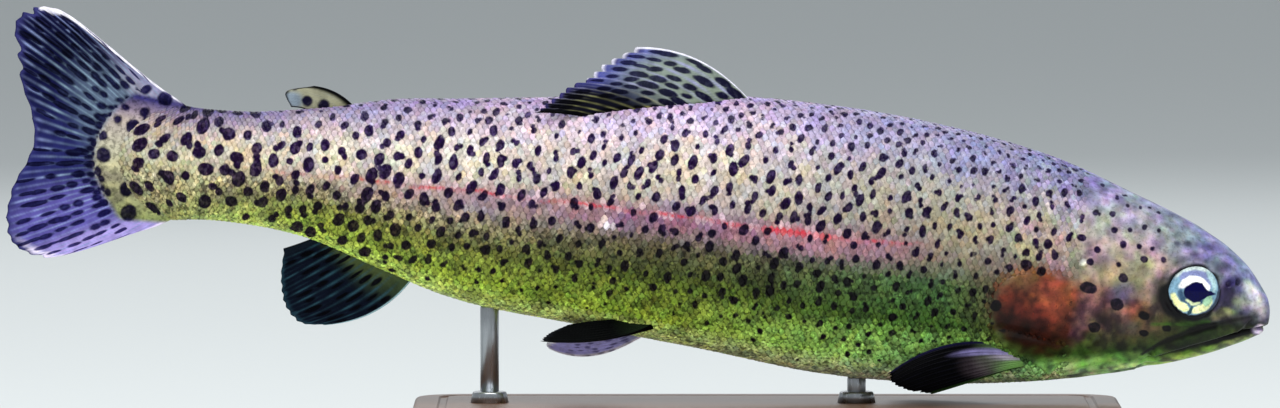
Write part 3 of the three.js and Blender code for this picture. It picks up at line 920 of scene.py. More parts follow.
@dataclass
class SpotField:
    """The dark spots of one side, scattered with a fixed seed.

    Places are [u, length above the lateral line]. The spots are large and round by the tail,
    taller than long on the flank, and fine on the back and the head; below the line they thin out.
    """

    LONG = SpotSize((1.05, 0.80), (1.44, 0.98), 1.95, 0.16)
    TALL = SpotSize((1.70, 1.04), (1.78, 1.15), 1.95, 0.27)
    GAP = SpotSize((3.6, 2.85), (3.75, 3.75), 4.6, 0.08)

    seed: int
    reach: float = 7.0
    hem: Point2 = (308.8, 312.8)
    # Painted highlight: no spots are scattered round the white glint on the flank.
    painted_glint_place: Point2 = (178.8, -2.2)
    painted_glint_radius: float = 3.2
    merged: float = 0.52
    head: tuple[tuple[float, float, float, float], ...] = (
        (40.3, 4.0, 1.35, 1.35), (41.1, -3.2, 1.9, 1.65), (46.4, -10.3, 1.75, 1.5),
        (49.4, 0.4, 2.4, 1.6), (33.5, -5.5, 1.6, 1.2), (32.9, -10.5, 1.35, 1.05),
        (27.0, -8.4, 1.35, 0.95), (41.5, 13.0, 1.05, 1.05), (35.4, 9.7, 1.05, 1.05),
        (37.1, 13.0, 0.8, 0.8), (33.6, 12.9, 0.7, 0.7), (30.3, 10.1, 0.8, 0.8),
        (42.1, 7.5, 0.8, 0.8), (48.2, 10.8, 0.95, 0.95), (44.3, 16.7, 0.95, 0.95),
        (40.1, 17.2, 0.7, 0.7), (49.7, 7.4, 1.05, 1.05), (52.9, 13.5, 1.35, 0.95),
        (62.4, 3.4, 1.35, 1.35), (66.6, 4.5, 1.6, 1.6), (61.5, 10.8, 1.35, 1.35),
        (73.4, -7.2, 1.6, 1.6),
    )
    rows: Array = field(default_factory=lambda: np.zeros((0, 5)))

    def shape(self, u: Array, above: Array, up: Array, down: Array) -> tuple[Array, ...]:
        """How the spots look at some places.

        Args:
            u: Distances behind the snout.
            above: Lengths above the lateral line.
            up: How far it is from the line to the back.
            down: How far it is from the line to the belly, below 0.

        Returns:
            Half lengths, half heights, least distances between spots, and how likely one is.
        """
        high = ease(0.30, 0.85, above / up)
        front, rear = ease(125, 78, u), ease(205, 250, u)
        tail = ease(266, 288, u)
        long, tall, gap = (size.at(high, front, rear, tail)
                           for size in (self.LONG, self.TALL, self.GAP))
        low = ease(0.5, -3.0, above) * (1 - rear)
        depth = above / down
        tall = tall * (1 - 0.20 * low)
        far = ease(0.38, 0.62, depth) * low
        long, tall = long * (1 - 0.35 * far), tall * (1 - 0.40 * far)
        chance = ease(0.82 + 0.14 * rear, 0.46 + 0.22 * rear, depth)
        stripe = bell(above + 1.6, 2.6) * ease(120, 150, u) * (1 - rear)
        chance = np.where(above < 0, chance, 1.0) * (1 - 0.35 * stripe)
        return long, tall, gap, chance

    def scatter(self, tries: int = 46000) -> SpotField:
        """Places the spots one after another wherever there is room, and returns the field.

        Args:
            tries: How many places are tried.

        Returns:
            The field itself, with its spots in rows.
        """
        draw = np.random.default_rng(self.seed)
        u = draw.uniform(32.0, 320.0, tries)
        up, down = SIDE.reach(u)
        above = down + (up - 0.4 - down) * draw.uniform(0, 1, tries)
        long, tall, gap, chance = self.shape(u, above, up, down)
        gill = np.interp(above, (-26, -14, -8, -3), (66, 76, 77, 70))
        bare = ((u < 55) & (above < 13)) | ((u < gill) & (above < 0.5))
        bare |= (u > self.hem[0]) & (u < self.hem[1])
        bare |= oval(u, above, self.painted_glint_place) < self.painted_glint_radius
        keep = np.flatnonzero(~bare)
        shown = draw.uniform(0, 1, tries) < chance * (0.55 + 0.45 * ease(46, 66, u))
        vary = draw.uniform(0, 1, (tries, 6))
        placed = np.zeros((tries + len(self.head), 3))
        rows: list[tuple[float, ...]] = []
        for u0, z0, long0, tall0 in self.head:
            above0 = z0 + 0.5 - float(LINE.height(np.array(u0)))
            placed[len(rows)] = (u0 + 0.45, above0, 3.2)
            rows.append((u0 + 0.45, above0, long0, tall0, 0.0))
        filled = len(rows)
        for k in keep:
            far = np.hypot(placed[:filled, 0] - u[k], placed[:filled, 1] - above[k])
            if np.any(far < (gap[k] + placed[:filled, 2]) / 2):
                continue
            placed[filled] = (u[k], above[k], gap[k])
            filled += 1
            if not shown[k]:
                continue
            bigger, slant, slim, lone, way, twist = vary[k]
            size = 0.62 + 0.58 * bigger
            angle = 0.20 + 0.6 * (slant - 0.5)
            rows.append((u[k], above[k], long[k] * size, tall[k] * size * (0.8 + 0.4 * slim), angle))
            if lone < self.merged:
                way *= 2 * math.pi
                rows.append((u[k] + 1.05 * long[k] * math.cos(way),
                             above[k] + 1.05 * tall[k] * math.sin(way),
                             long[k] * 0.66, tall[k] * 0.5, angle + twist))
        self.rows = np.array(rows)
        return self

    def distance(self, u: Array, above: Array) -> Array:
        """How far each place is from the edge of the nearest spot, below 0 inside one.

        Args:
            u: Distances behind the snout.
            above: Lengths above the lateral line.

        Returns:
            Distances in millimetres, at most 6.
        """
        best = np.full(len(u), 6.0)
        order = np.argsort(u)
        sorted_u = u[order]
        for su, sa, long, tall, angle in self.rows:
            low, high = np.searchsorted(sorted_u, (su - self.reach, su + self.reach))
            near = order[low:high]
            along, across = turned(u[near] - su, above[near] - sa, angle)
            away = (np.hypot(along / long, across / tall) - 1.0) * 0.5 * (long + tall)
            best[near] = np.minimum(best[near], away)
        return best


def spot_edges(spots: dict[int, SpotField], u: Array, above: Array, y: Array) -> Array:
    """How far each place is from the nearest spot's edge on its own side of the fish."""
    return np.where(y < 0, spots[-1].distance(u, above), spots[1].distance(u, above))


# -------------------- The relief of the skin


@dataclass(frozen=True)
class HeadPlan:
    """The outlines of the head's parts as [u, z] points, and the heights of its folds.

    Each part's method takes [u, z] points and how far they are from the middle, and returns their
    heights above the loft in millimetres and the painted shade in their creases, from 0 to 1.
    """

    gill_opening: tuple[Point2, ...] = (
        (64, 3.6), (70.5, 1.6), (74.6, -3.4), (75.2, -9), (73.6, -14.2), (70, -17.8),
        (63, -20.6), (57, -24),
    )
    cheek_edge: tuple[Point2, ...] = (
        (54, -19.5), (49.6, -16.8), (47.6, -9), (48.6, -2), (53, 3),
    )
    preopercle: tuple[Point2, ...] = (
        (47.2, 6.0), (45.2, 0.5), (44.4, -5.5), (44.9, -11.5), (47.4, -16.6), (52, -19.4),
    )
    maxilla_upper: tuple[Point2, ...] = (
        (5.2, -2.4), (9, -3.6), (14.5, -5.6), (21, -8.3), (27, -11.6), (31, -15.4),
    )
    maxilla_lower: tuple[Point2, ...] = ((30.2, -16.6), (22.5, -13.4), (14.5, -9.9), (8, -6.6))
    corner: Point2 = (31.6, -17.2)
    gape: tuple[Point2, ...] = ((0, -4.3), (8, -6.9), (16, -10.3), (24, -13.6), (31, -17))
    subopercle: tuple[Point2, ...] = ((50.5, -15.4), (58, -14.6), (66, -13.4), (72, -12.6))
    brow: tuple[Point2, ...] = ((11.5, 9.6), (16, 11.6), (22, 12.0), (28, 10.4), (32, 7.4))
    eye: Point2 = (21.4, 3.25)
    eye_radius: float = 6.75
    socket_depth: float = 3.4
    nostrils: tuple[Point2, Point2] = ((10.0, 7.0), (12.3, 6.4))
    flap: Point2 = (11.15, 6.8)

    def relief(self, u: Array, y: Array, z: Array) -> tuple[Array, Array]:
        """The shape that lies over the loft of the body.

        Args:
            u: Distances behind the snout.
            y: Places to the left.
            z: Heights.

        Returns:
            Heights above the loft in millimetres, and the painted shade in the creases (0 to 1).
        """
        rise, fold = np.zeros(len(u)), np.zeros(len(u))
        near = np.flatnonzero(u < 86.0)
        points = np.stack([u[near], z[near]], axis=-1)
        head_rise, head_fold = np.zeros(len(near)), np.zeros(len(near))
        for part in (self.gill_cover, self.mouth, self.socket, self.snout, self.throat):
            more, deeper = part(points, np.abs(y[near]))
            head_rise += more
            head_fold = np.maximum(head_fold, deeper)
        rise[near], fold[near] = head_rise, head_fold
        return rise, fold

    def gill_cover(self, p: Array, aside: Array) -> tuple[Array, Array]:
        """The cover with its free rear edge, its plates, and the slit behind it."""
        u, z = p.T
        opening = smooth_line(self.gill_opening)
        outline = np.vstack([opening, smooth_line(self.cheek_edge)])
        gap = distance_to(p, opening)
        inside = signed_distance(p, outline) < 0
        here = ease(5.4, 2.6, z) * ease(0.5, 4.0, aside)
        rise = np.where(inside, 0.5 * np.exp(-gap / 9.0), -1.25 * ease(3.8, 0.4, gap))
        rise = np.where(inside, rise - 0.12 * bell(gap - 1.5, 0.8), rise) * here
        fold = np.where(inside, 0.0, ease(2.2, 0.2, gap)) * here
        lower = distance_to(p, smooth_line(self.subopercle))
        rise -= 0.22 * bell(lower, 0.9)
        fold = np.maximum(fold, 0.12 * bell(lower, 0.7))
        cheek = distance_to(p, smooth_line(self.preopercle))
        ahead = u < np.interp(z, [-19.4, -11.5, -5.5, 6.0], [52, 44.9, 44.4, 47.2])
        step = np.where(ahead, 0.28 * np.exp(-cheek / 3.2), -0.3 * np.exp(-cheek / 1.1))
        rise += step * ease(8.5, 5.0, z) * ease(-21.5, -18.0, z)
        fold = np.maximum(fold, 0.35 * bell(cheek - 0.3, 0.6) * ease(7.5, 4.0, z))
        return rise, fold

    def mouth(self, p: Array, _aside: Array) -> tuple[Array, Array]:
        """The gape, the upper jaw's blade and the lower jaw set in beneath it."""
        u, z = p.T
        gape = smooth_line(self.gape)
        gap = distance_to(p, gape)
        below = z < np.interp(u, gape[:, 0], gape[:, 1])
        jaw = np.where(below & (u < 34), -0.45 * ease(7.0, 1.0, gap), 0.0)
        groove = -1.1 * bell(gap, 0.55)
        fold = bell(gap, 0.75)
        blade = np.vstack([smooth_line(self.maxilla_upper), smooth_line(self.maxilla_lower)])
        edge = signed_distance(p, blade)
        lip = 0.55 * ease(0.15, -0.9, edge)
        crease = -0.35 * bell(edge - 0.55, 0.5)
        corner = oval(u, z, self.corner)
        lip = lip - 0.6 * bell(corner, 1.8)
        fold = np.maximum(fold, 0.7 * bell(edge - 0.4, 0.45) * (z > -14))
        fold = np.maximum(fold, 0.6 * bell(corner, 2.2))
        upper = 0.25 * bell(gap - 1.5, 1.0) * ~below * (u < 9)
        return groove + jaw + lip + crease + upper, fold

    def socket(self, p: Array, _aside: Array) -> tuple[Array, Array]:
        """The eye's socket with its rim of skin and painted shade at its edge, and the plates under
        the eye.
        """
        u, z = p.T
        du, dz = u - self.eye[0], z - self.eye[1]
        ring = np.hypot(du, dz)
        turn = np.arctan2(dz, du)
        edge = self.eye_radius + 0.18 * np.cos(2 * turn)
        sink = -self.socket_depth * ease(edge, edge - 1.1, ring)
        rim = 0.34 * bell(ring - edge - 0.75, 0.55) - 0.28 * bell(ring - edge - 2.0, 0.7)
        rim += 0.16 * bell(ring - edge - 3.1, 0.8)
        brow = 0.55 * bell(distance_to(p, smooth_line(self.brow)), 1.6)
        hollow = -0.35 * bell(oval(u, z, (12.2, 2.0), (2.2, 3.6)), 1.0)
        cheek = -0.45 * bell(oval(u, z, (35.5, -1.0), (6.5, 7.5)), 1.0)
        plates = 0.09 * np.cos(turn * 9.0 + 0.6) * ease(9.0, 12.0, ring)
        plates *= ease(23.0, 17.0, ring) * (du > 0) * ease(9.0, 4.0, z)
        below = 0.35 + 0.65 * bell(np.degrees(turn) + 60.0, 70.0)
        fold = 0.85 * below * bell(ring - edge + 0.2, 0.6)
        fold = np.maximum(fold, 0.25 * bell(ring - edge - 2.0, 0.6))
        return sink + rim + brow + hollow + cheek + plates, fold

    def snout(self, p: Array, aside: Array) -> tuple[Array, Array]:
        """The nostrils and the bumps of the snout and the skull."""
        u, z = p.T
        rise, fold = np.zeros(len(p)), np.zeros(len(p))
        for place in self.nostrils:
            ring = oval(u, z, place, (0.85, 1.05))
            rise += -0.9 * ease(1.1, 0.5, ring) + 0.20 * bell(ring - 1.5, 0.5)
            fold = np.maximum(fold, 0.5 * ease(1.2, 0.5, ring))
        rise += 0.5 * bell(oval(u, z, self.flap, (0.4, 1.2)), 1.0)
        skull = 0.28 * bell(aside - 4.2, 1.4) * ease(12, 20, u)
        rise += skull * ease(58, 44, u) * ease(10, 16, z)
        rise += 0.05 * wobble(u, z, 1.6) * ease(4, 9, u)
        return rise, fold

    def throat(self, p: Array, aside: Array) -> tuple[Array, Array]:
        """The thin rays under the gill covers and the grooves beside the isthmus."""
        u, z = p.T
        under = ease(-15.5, -18.5, z)
        along = ease(20, 28, u) * ease(66, 56, u)
        groove = bell(aside - 2.4 - 0.05 * (u - 28), 0.6) * under * along
        folds = 0.14 * np.sin((aside + 0.10 * u) * 2.6) * under * along
        return -0.8 * groove + folds, 0.8 * groove


@dataclass(frozen=True)
class BodySkin:
    """The one skin of head, jaw, gill covers, trunk and tail stalk, and how fine it is."""

    NODES = ("head", "lower_jaw", "gill_cover_right", "gill_cover_left", "maxilla_right",
             "maxilla_left", "trunk", "tail_stalk")

    pose: Pose
    plan: HeadPlan
    markings: Markings
    spots: dict[int, SpotField]
    sides: int = 256
    rings: int = 336
    under_coat: float = 0.26
    bare: float = 0.05
    finer: tuple[Point3, ...] = ((84, 66, 3.2), (296, 312, 0.9))
    snout: Point2 = (15.0, 12.0)

    def ring_places(self, run: Array) -> Array:
        """Spreads the rings along the fish: close at the snout and head, wider on the body."""
        u = np.linspace(0.0, FORM.length, 3171)
        close = 1.0 + sum(more * ease(start, end, u) for start, end, more in self.finer)
        count = np.concatenate([[0.0], np.cumsum((close[1:] + close[:-1]) / 2 * np.diff(u))])
        count += self.snout[0] * np.sqrt(np.minimum(u, self.snout[1]))
        return np.interp(run * count[-1], count, u)

    def mesh(self) -> Mesh:
        """Wraps a grid round the body and lays the relief over it."""
        mesh, run, turn = flat_grid("trout_skin", self.rings, self.sides)
        u = self.ring_places(run)
        phi = 2 * math.pi * turn + 0.12 * np.sin(4 * math.pi * turn)
        base = FORM.surface(u, phi)
        rise, fold = self.plan.relief(base[:, 0], base[:, 1], base[:, 2])
        rise -= blend(self.bare, self.under_coat, scaled_share(base[:, 0], base[:, 2]))
        rise *= ease(FORM.length + 1.0, FORM.length - 6.0, u) * ease(-0.1, 0.6, u)
        above = SIDE.above_line(u, phi)
        height = FORM.height_share(u, base[:, 2])
        write_points(mesh, self.pose.place(base + FORM.normal(u, phi) * rise[:, None]))
        write_attributes(
            mesh,
            spot=spot_edges(self.spots, u, above, base[:, 1]),
            fold=fold,
            base=self.markings.colour(u, base[:, 2], height, above),
        )
        face_outwards(mesh, SEAM)
        return mesh


def scaled_share(u: Array, z: Array) -> Array:
    """Where the coat lies: 1 behind the gill opening and the nape, 0 on the head."""
    heights = np.array([-26, -24, -20.6, -17.8, -14.2, -9, -3.4, 1.6, 3.6, 12, 24, 34])
    places = np.array([57, 57, 63, 70, 73.6, 75.2, 74.6, 70.5, 66, 62, 57, 54])
    return ease(0.6, 2.6, u - np.interp(z, heights, places))


# -------------------- The coat of scales


@dataclass(frozen=True)
class ScaleCoat:
    """The scales over the skin, each a thin disc whose free edge points to the tail.

    The sizes are in millimetres, and the patch is a scale's share of the bake's unwrap.
    """

    STRETCHES = (("front", 0.0, 125.0), ("middle", 125.0, 195.0), ("rear", 195.0, 400.0))

    pose: Pose
    markings: Markings
    spots: dict[int, SpotField]
    along: tuple[Point2, ...] = ((55, 1.45), (90, 1.62), (150, 1.8), (220, 1.7), (300, 1.3))
    across: tuple[Point2, ...] = ((55, 1.3), (90, 1.5), (150, 1.68), (220, 1.5), (300, 1.12))
    first: float = 53.0
    last: float = 316.0
    step: float = 0.5
    rows: int = 60
    overlap: float = 1.02
    thickness: float = 0.15
    tilt: float = 0.20
    sink: float = 0.13
    sides: int = 10
    shoulder: float = 0.74
    patch: float = 0.003
    hues: Point3 = (0.10, 0.05, 0.13)
    painted_highlight: str = "#f4d6de"

    def pitch(self, table: tuple[Point2, ...], u: Array) -> Array:
        """A size that changes along the fish."""
        return np.interp(u, [row[0] for row in table], [row[1] for row in table])

    def roots(self) -> Array:
        """Finds the middles of one side's scales, in rows that follow the lateral line.

        Returns:
            Rows of [u, angle, change of angle along the row, length above the line].
        """
        fine = np.arange(self.first, self.last, self.step)
        count = np.concatenate([[0], np.cumsum(self.step / self.pitch(self.along, fine))[:-1]])
        found = []
        for row in range(-self.rows, self.rows):
            u = np.interp(np.arange(int(count[-1])) + 0.5 * (row % 2), count, fine)
            above = row * self.pitch(self.across, u)
            up, down = SIDE.reach(u)
            keep = (above < up - 0.3) & (above > down + 0.3)
            if not keep.any():
                continue
            phi = np.array([np.interp(-a, -SIDE.ring(x), SIDE.phi) for a, x in zip(above, u)])
            found.append(np.column_stack([u, phi, np.gradient(phi, u), above])[keep])
        return np.vstack(found)

    def template(self) -> Mesh:
        """One scale: a disc with a bevelled rim, its top at half a unit up."""
        shell = bmesh.new()
        bmesh.ops.create_cone(shell, cap_ends=True, cap_tris=False, segments=self.sides,
                              radius1=1.0, radius2=self.shoulder, depth=1.0)
        top = [face for face in shell.faces if face.normal.z > 0.5]
        bmesh.ops.inset_region(shell, faces=top, thickness=self.shoulder * 0.45, depth=0.0)
        bmesh.ops.poke(shell, faces=top)
        layer = shell.loops.layers.uv.new(BAKE_UV)
        for face in shell.faces:
            under = face.normal.z < -0.5
            for loop in face.loops:
                place = loop.vert.co.xy
                loop[layer].uv = place * 0.02 - Vector((0.47, 0.47)) if under else place / 2
        return to_mesh(shell, "one_scale")

    def repeated(self, name: str, count: int) -> Mesh:
        """Many copies of the template in one mesh, in order."""
        holder = add_object(name, self.template())
        copies = holder.modifiers.new("copies", "ARRAY")
        copies.count = count
        copies.use_relative_offset = False
        bpy.context.view_layer.update()
        evaluated = holder.evaluated_get(bpy.context.evaluated_depsgraph_get())
        mesh = bpy.data.meshes.new_from_object(evaluated)
        mesh.name = name
        spare = holder.data
        bpy.data.objects.remove(holder)
        bpy.data.meshes.remove(spare)
        return mesh

    def mesh(self, name: str, side: int, roots: Array, seed: int) -> Mesh:
        """Builds the scales of one stretch of one side.

        Args:
            name: The piece's name.
            side: -1 for the right side, 1 for the left.
            roots: The rows that roots() gives.
            seed: What the small differences are drawn from.

        Returns:
            A mesh in the object's frame.
        """
        draw = np.random.default_rng(seed)
        count = len(roots)
        mesh = self.repeated(name, count)
        local = read_points(mesh).reshape(count, -1, 3)
        each = local.shape[1]
        jitter = draw.uniform(-1, 1, (count, 6))
        u, phi, bend, above = (roots[:, k, None] for k in range(4))
        half_long = self.pitch(self.along, u) * self.overlap * (1 + 0.05 * jitter[:, 0:1])
        half_wide = self.pitch(self.across, u) * self.overlap * (1 + 0.05 * jitter[:, 1:2])
        x, y = turned(local[:, :, 0], local[:, :, 1], -0.10 * jitter[:, 2:3])
        turn = 0.01
        around = FORM.surface(u, phi + turn) - FORM.surface(u, phi - turn)
        rate = np.linalg.norm(around, axis=-1) / (2 * turn)
        place_u = np.clip(u + x * half_long, 0, FORM.length - 0.5).ravel()
        place_phi = phi + x * half_long * bend + y * half_wide / np.maximum(rate, 4.0)
        place_phi = -side * place_phi.ravel()
        lift = self.tilt * (1 + 0.25 * jitter[:, 3:4]) * x - self.sink + 0.02 * jitter[:, 4:5]
        lift = (lift + local[:, :, 2] * self.thickness).ravel()[:, None]
        points = FORM.surface(place_u, place_phi) + FORM.normal(place_u, place_phi) * lift
        write_points(mesh, self.pose.place(points))
        spread = (above - y * half_wide).ravel()
        u, phi, above = u[:, 0], phi[:, 0], above[:, 0]
        level = FORM.surface(u, phi)[:, 2]
        height = FORM.height_share(u, level)
        colour = self.markings.colour(u, level, height, above)
        colour = np.clip(colour * (1 + jitter[:, (2, 0, 1)] * self.hues), 0, 1)
        # Painted highlights: some scales just above the lateral line are tinted pinkish white, as
        # glints.
        bright = bell(above - 0.9, 1.3) * ease(105, 130, u) * ease(290, 240, u)
        colour = over(colour, self.painted_highlight, 0.55 * bright * (jitter[:, 3] > 0.30))
        net = 0.05 + 0.42 * bell(height - 0.27, 0.17) + 0.2 * bell(height - 0.08, 0.1)
        grit = 0.40 + 0.55 * ease(0.50, 0.36, height)
        write_attributes(
            mesh,
            spot=self.spots[side].distance(place_u, spread),
            line=self.markings.line(place_u, spread),
            base=np.repeat(colour, each, axis=0),
            tone=np.repeat(0.5 + 0.5 * jitter[:, 5], each),
            net=np.repeat(net, each),
            grit=np.repeat(grit, each),
            rear=local[:, :, 0].ravel() * 0.5 + 0.5,
            rim=np.hypot(local[:, :, 0], local[:, :, 1]).ravel(),
        )
        self.unwrap(mesh, side, u, above)
        face_outwards(mesh)
        return mesh

    def unwrap(self, mesh: Mesh, side: int, u: Array, above: Array) -> None:
        """Moves each scale's patch to its root's place on the unwrap of the skin's own shape.

        Args:
            mesh: The scales.
            side: -1 for the right side, 1 for the left.
            u: How far behind the snout each scale is.
            above: How far above the line it is.
        """
        layer = mesh.uv_layers[BAKE_UV]
        flat = np.empty(len(mesh.loops) * 2, dtype=np.float32)
        layer.data.foreach_get("uv", flat)
        uv = flat.reshape(len(u), -1, 2) * self.patch
        uv[:, :, 0] += (u / UV_LENGTH + 0.01)[:, None]
        uv[:, :, 1] += (0.5 + side * (0.25 + above / UV_LENGTH))[:, None]
        layer.data.foreach_set("uv", uv.astype(np.float32).ravel())


# -------------------- The fins


class Margin(Enum):
    """How a fin's free edge ends."""

    SMOOTH = "smooth"
    STEPPED = "stepped"
    FRAYED = "frayed"


@dataclass(frozen=True)
class Wash:
    """A soft patch of colour on a fin: its middle and half sizes as shares of width and length."""

    middle: Point2
    half: Point2
    colour: str
    strength: float = 1.0
    fade: Point2 = (1.35, 0.5)

    def cover(self, s: Array, t: Array) -> Array:
        """How much of each place the patch covers."""
        return self.strength * ease(*self.fade, oval(s, t, self.middle, self.half))


@dataclass(frozen=True)
class FinLook:
    """The colours of a fin and how its dark dashes lie between the rays."""

    root: str
    blade: str
    margin: str
    front: str
    rear: str
    front_reach: float = 0.05
    rear_reach: float = 0.0
    ray: str = "#a9a6c8"
    ray_strength: float = 0.5
    dash_pitch: float = 0.0
    dash_half: Point2 = (1.5, 0.8)
    dash_out: Point2 | None = None
    dash_from: float = 0.0
    dash_to: float = 1.0
    dots: tuple[Point3, ...] = ()
    edges: Point2 = (0.0, 1.0)
    lead: Point3 = (0.89, 0.0, 0.0)
    bold: Point2 = (1.0, 1.0)
    lines: Point2 = (1.0, 3.0)
    tint: Wash | None = None
    washes: tuple[Wash, ...] = ()
    flesh: bool = False


@dataclass(frozen=True)
class FinPlan:
    """A fin: its rays' bases, bends and tips as [u, y, z], and how its blade is built."""

    node: str
    slot: str
    rays: tuple[tuple[Point3, Point3, Point3], ...]
    count: int
    look: FinLook
    root: float = 1.5
    edge: float = 0.6
    margin: Margin = Margin.FRAYED
    columns: int = 180
    rows: int = 56
    ridge: float = 0.16
    flare: Point2 = (0.7, 4.5)
    mirrored: bool = False
    seed: int = 1


@dataclass(frozen=True)
class Fin:
    """One fin as a closed blade whose rays stand up on both faces.

    A place on the blade has two shares: s runs from the leading ray to the last and t from the
    root to the tip. The middle of the blade is told as rows of [u, y, z].
    """

    CELLS = 60
    ZONES = 12

    pose: Pose
    plan: FinPlan
    markings: Markings
    spots: dict[int, SpotField]

    def at(self, s: Array, t: Array) -> Array:
        """The middle of the blade, from the leading ray (s = 0) to the last and root to tip."""
        rays = np.array(self.plan.rays)
        if self.plan.mirrored:
            rays = rays * (1, -1, 1)
        base, bend, tip = (through(rays[:, k], s) for k in range(3))
        t = t[:, None]
        return base * (1 - t) ** 2 + bend * 2 * t * (1 - t) + tip * t * t

    def shortened(self, s: Array, t: Array) -> Array:
        """Cuts the free edge back between the rays.

        Args:
            s: Shares from ray to ray.
            t: Shares from root to tip.

        Returns:
            The shares from root to tip on the cut blade.
        """
        plan = self.plan
        draw = np.random.default_rng(plan.seed)
        phase = s * plan.count
        index = np.clip(np.floor(phase).astype(int), 0, plan.count)
        each = draw.uniform(0, 1, plan.count + 1)[index]
        part = phase - np.floor(phase)
        web = np.sin(math.pi * part) ** 2
        if plan.margin is Margin.STEPPED:
            cut = 0.065 * part**1.5 + 0.02 * each
        elif plan.margin is Margin.FRAYED:
            cut = np.where(each > 0.88, 0.04, 0.007 + 0.010 * each) * web + 0.009 * each
        else:
            cut = 0.004 * web
        ends = ease(0.0, 0.04, s) * ease(1.0, 0.96, s)
        return t * (1 - cut * ends * ease(0.55, 1.0, t))

    def ridges(self, s: Array, t: Array) -> Array:
        """The rays' profile across the blade, from 0 on the web to 1 on a ray, forked outwards."""
        phase = s * self.plan.count * 2 * math.pi
        single = 0.5 + 0.5 * np.cos(phase)
        forked = 0.5 + 0.5 * np.cos(phase * 2)
        split = ease(0.45, 0.75, t)
        return single**1.5 * (1 - split) + (0.35 * single + 0.65 * forked**1.2) * split

    @staticmethod
    def hem(z: Array) -> Array:
        """How far back the flesh of the tail stalk reaches over the fin, at each height."""
        return 318.0 - 0.030 * (z - 4.0) ** 2

    def dashes(self, s: Array, t: Array, length: Array, wide: Array, middle: Array) -> Array:
        """How far each place is from the edge of a dark dash or dot, in millimetres.

        Args:
            s: Shares from ray to ray.
            t: Shares from root to tip.
            length: The rays' length at each place.
            wide: The blade's width there.
            middle: Places on its middle.

        Returns:
            Distances, below 0 inside a dash.
        """
        look, plan = self.plan.look, self.plan
        best = np.full(len(s), 4.0)
        for u, z, radius in look.dots:
            best = np.minimum(best, oval(middle[:, 0], middle[:, 2], (u, z)) - radius)
        if look.dash_pitch <= 0:
            return best
        if look.flesh:
            for z in np.arange(-9.0, 19.0, 2.3):
                away = np.hypot((middle[:, 0] - self.hem(z) - 1.5) / 1.7, middle[:, 2] - z)
                best = np.minimum(best, away - 0.7 - 0.25 * math.sin(z * 2.7))
        draw = np.random.default_rng(plan.seed + 50)
        table = draw.uniform(-1, 1, (plan.count + 3, self.CELLS, 4))
        lane, along = s * plan.count, t * length / look.dash_pitch
        near, far = look.dash_half, look.dash_out or look.dash_half
        for web, step in product((-1, 0, 1), repeat=2):
            column = np.clip(np.floor(lane).astype(int) + web, 0, plan.count + 1)
            cell = np.clip(np.round(along).astype(int) + step, 0, self.CELLS - 1)
            ahead, longer, wider, aside = table[column, cell].T
            centre = (cell + 0.30 * ahead + 0.25 * (column % 2)) * look.dash_pitch
            out = centre / length
            half = blend(near[0], far[0], out) * (1 + 0.35 * longer)
            side = blend(near[1], far[1], out) * (1 + 0.30 * wider)
            dx = (lane - column - 0.5 - 0.12 * aside) * wide / plan.count
            ring = np.hypot((t * length - centre) / half, dx / side)
            here = (out > look.dash_from) & (out < look.dash_to) & (ahead > -0.86)
            best = np.minimum(best, np.where(here, (ring - 1) * 0.5 * (half + side), 4.0))
        return best

    def outer_rim(self, middle: Array) -> Array:
        """How much of each place lies in the pale rim along the outline of the foremost rays.

        Args:
            middle: Places on its middle.

        Returns:
            Shares from 0 to 1.
        """
        edge, (_, near, far) = self.plan.look.edges[0], self.plan.look.lead
        if far <= 0:
            return np.zeros(len(middle))
        s, t = np.meshgrid(np.linspace(0, edge, 60), np.linspace(0, 1, 200))
        points = self.at(s.ravel(), t.ravel())
        cell = np.round(points[:, 0] * 4).astype(int)
        top = np.full(cell.max() + 1, -99.0)
        np.maximum.at(top, cell, points[:, 2])
        known = np.flatnonzero(top > -99)
        first, last = known[0] / 4, known[-1] / 4
        wide = blend(near, far, np.clip((middle[:, 0] - first) / (last - first), 0, 1))
        below = 0.8 * (np.interp(middle[:, 0], known / 4, top[known]) - middle[:, 2])
        return ease(wide * 1.3, wide * 0.7, below) * (middle[:, 0] < last)

    def colour(self, s: Array, t: Array, ridge: Array, middle: Array) -> Array:
        """The blade's colour, from the root to the margin and from front to rear.

        Args:
            s: Shares from ray to ray.
            t: Shares from root to tip.
            ridge: How near each place is to a ray.
            middle: Places on its middle.

        Returns:
            Linear colours, one row each.
        """
        look, count = self.plan.look, self.plan.count
        colour = np.tile(linear(look.root), (len(s), 1))
        colour = over(colour, look.blade, ease(0.08, 0.42, t))
        for wash in look.washes:
            colour = over(colour, wash.colour, wash.cover(s, t))
        ray = np.tile(linear(look.ray), (len(s), 1))
        if look.tint:
            ray = over(ray, look.tint.colour, look.tint.cover(s, t))
        draw = np.random.default_rng(self.plan.seed + 90)
        lights = draw.uniform(0.0, 1.0, (2 * count + 2, self.ZONES + 1)) ** 2.0
        lane = np.round(s * 2 * count).astype(int)
        forked = 0.5 + 0.5 * np.cos(s * count * 4 * math.pi)
        thin = (ridge + (forked - ridge) * (look.lines[0] > 1)) ** look.lines[1]
        place = np.clip(t, 0.0, 0.999) * self.ZONES
        zone = place.astype(int)
        light = blend(lights[lane, zone], lights[lane, zone + 1], place - zone)
        shown = look.ray_strength * (0.16 + 0.84 * light) * thin
        rim = ease(0.92, 0.985, t + 0.05 * (light - 0.6))
        tips = ease(look.lead[0], look.lead[0] + 0.06, t)
        layers = [
            (ray, shown * ease(0.0, 0.25, t)),
            (look.margin, rim),
            (look.front, tips * (s < look.edges[0])),
            (look.front, self.outer_rim(middle)),
            (look.rear, rim * (s > look.edges[1])),
            (look.front, ease(look.front_reach, look.front_reach * 0.3, s)),
        ]
        if look.rear_reach > 0:
            share = ease(1 - look.rear_reach, 1 - look.rear_reach * 0.3, s)
            layers.append((look.rear, share))
        for top, share in layers:
